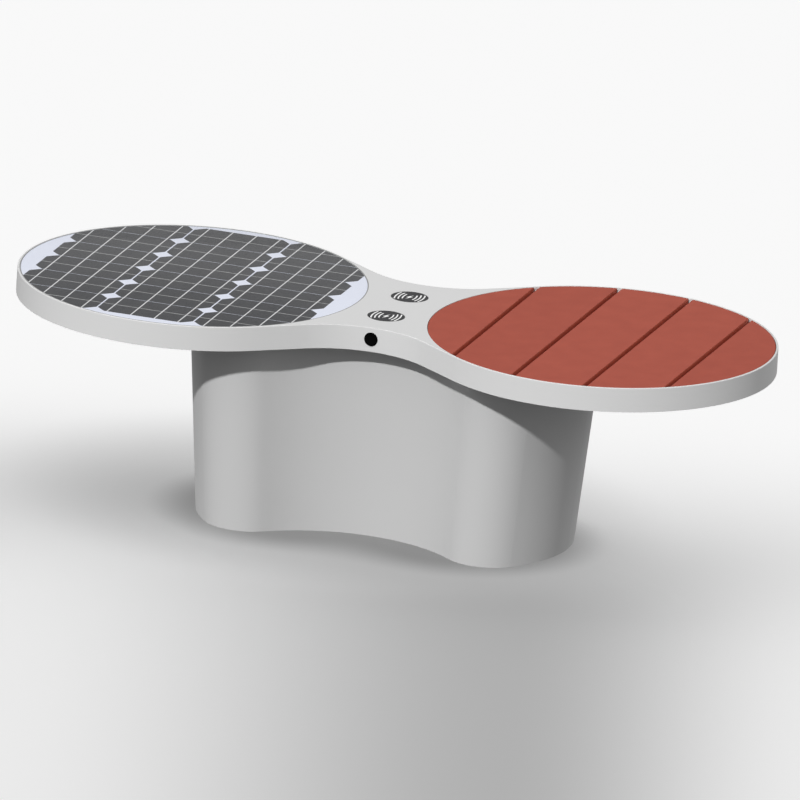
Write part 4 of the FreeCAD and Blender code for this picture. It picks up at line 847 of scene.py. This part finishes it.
def makePorts():
    look = ports
    toward = Matrix.Rotation(math.pi / 2, 4, "X")
    bm = bmesh.new()
    for shell in look["shells"]:
        verts, faces = set(bm.verts), set(bm.faces)
        bmesh.ops.bevel(bm, geom=rectangle(bm, 0, 0, 0, shell["width"], shell["height"]),
                        offset=shell["corner"], affect="VERTICES", segments=look["cornerSteps"],
                        profile=0.5, material=-1)
        plate = newFaces(bm, faces)
        bmesh.ops.inset_region(bm, faces=plate, thickness=look["wall"], use_boundary=True,
                               use_even_offset=True)
        bmesh.ops.delete(bm, geom=plate, context="FACES_ONLY")
        raiseFaces(bm, -shell["depth"], newFaces(bm, faces))
        bmesh.ops.transform(bm, matrix=Matrix.Translation((0, look["face"], shell["z"])) @ toward,
                            verts=newVerts(bm, verts))
    addPiece("portShells", bm, "stainless", "root")
    bm = bmesh.new()
    start, half = look["contactStart"], look["contactHalf"]
    for row in look["rows"]:
        for x in spread(row["count"], row["pitch"]):
            block(bm, (x - row["width"] / 2, start, row["z"] - half),
                  (x + row["width"] / 2, start + look["contactLength"], row["z"] + half))
    addPiece("portContacts", bm, "contactGold", "root")


# Two pressed ribs stiffen the door from inside: their left and right ends and the heights of their middles
doorRib = {"x": (-0.084, 0.066), "z": (0.106, 0.294), "height": 0.016, "depth": 0.0050, "sink": 0.0002,
           "steps": 24, "taper": 0.0035, "near": 1e-6}


def makeDoorRibs():
    look = doorRib
    left, right = look["x"]
    toRear = Vector((0, 1, 0))
    sheet = nodes["service_door"].data
    inside = BVHTree.FromPolygons([vert.co for vert in sheet.vertices],
                                  [face.vertices for face in sheet.polygons])
    bm = bmesh.new()
    for z in look["z"]:
        verts, faces = set(bm.verts), set(bm.faces)
        stance = Matrix.Translation(((left + right) / 2, 0, z)) @ Matrix.Rotation(math.pi / 2, 4, "X")
        bmesh.ops.create_grid(bm, x_segments=look["steps"], y_segments=1, size=0.5,
                              matrix=stance @ Matrix.Diagonal((right - left, look["height"], 1, 1)))
        for vert in newVerts(bm, verts):
            vert.co.y = inside.ray_cast(Vector((vert.co.x, 0, vert.co.z)), toRear)[0].y + look["sink"]
        for vert in raiseFaces(bm, -(look["depth"] + look["sink"]), newFaces(bm, faces), toRear):
            vert.co.z += math.copysign(look["taper"], z - vert.co.z)
            if min(vert.co.x - left, right - vert.co.x) < look["near"]:
                vert.co.x += math.copysign(look["taper"], -vert.co.x)
    addPiece("doorRibs", bm, "shadedPedestalPaint", "hatch_door")


makeGlands()
makeFaceplate()
makePorts()
makeDoorRibs()
print("battery and controller dressed")
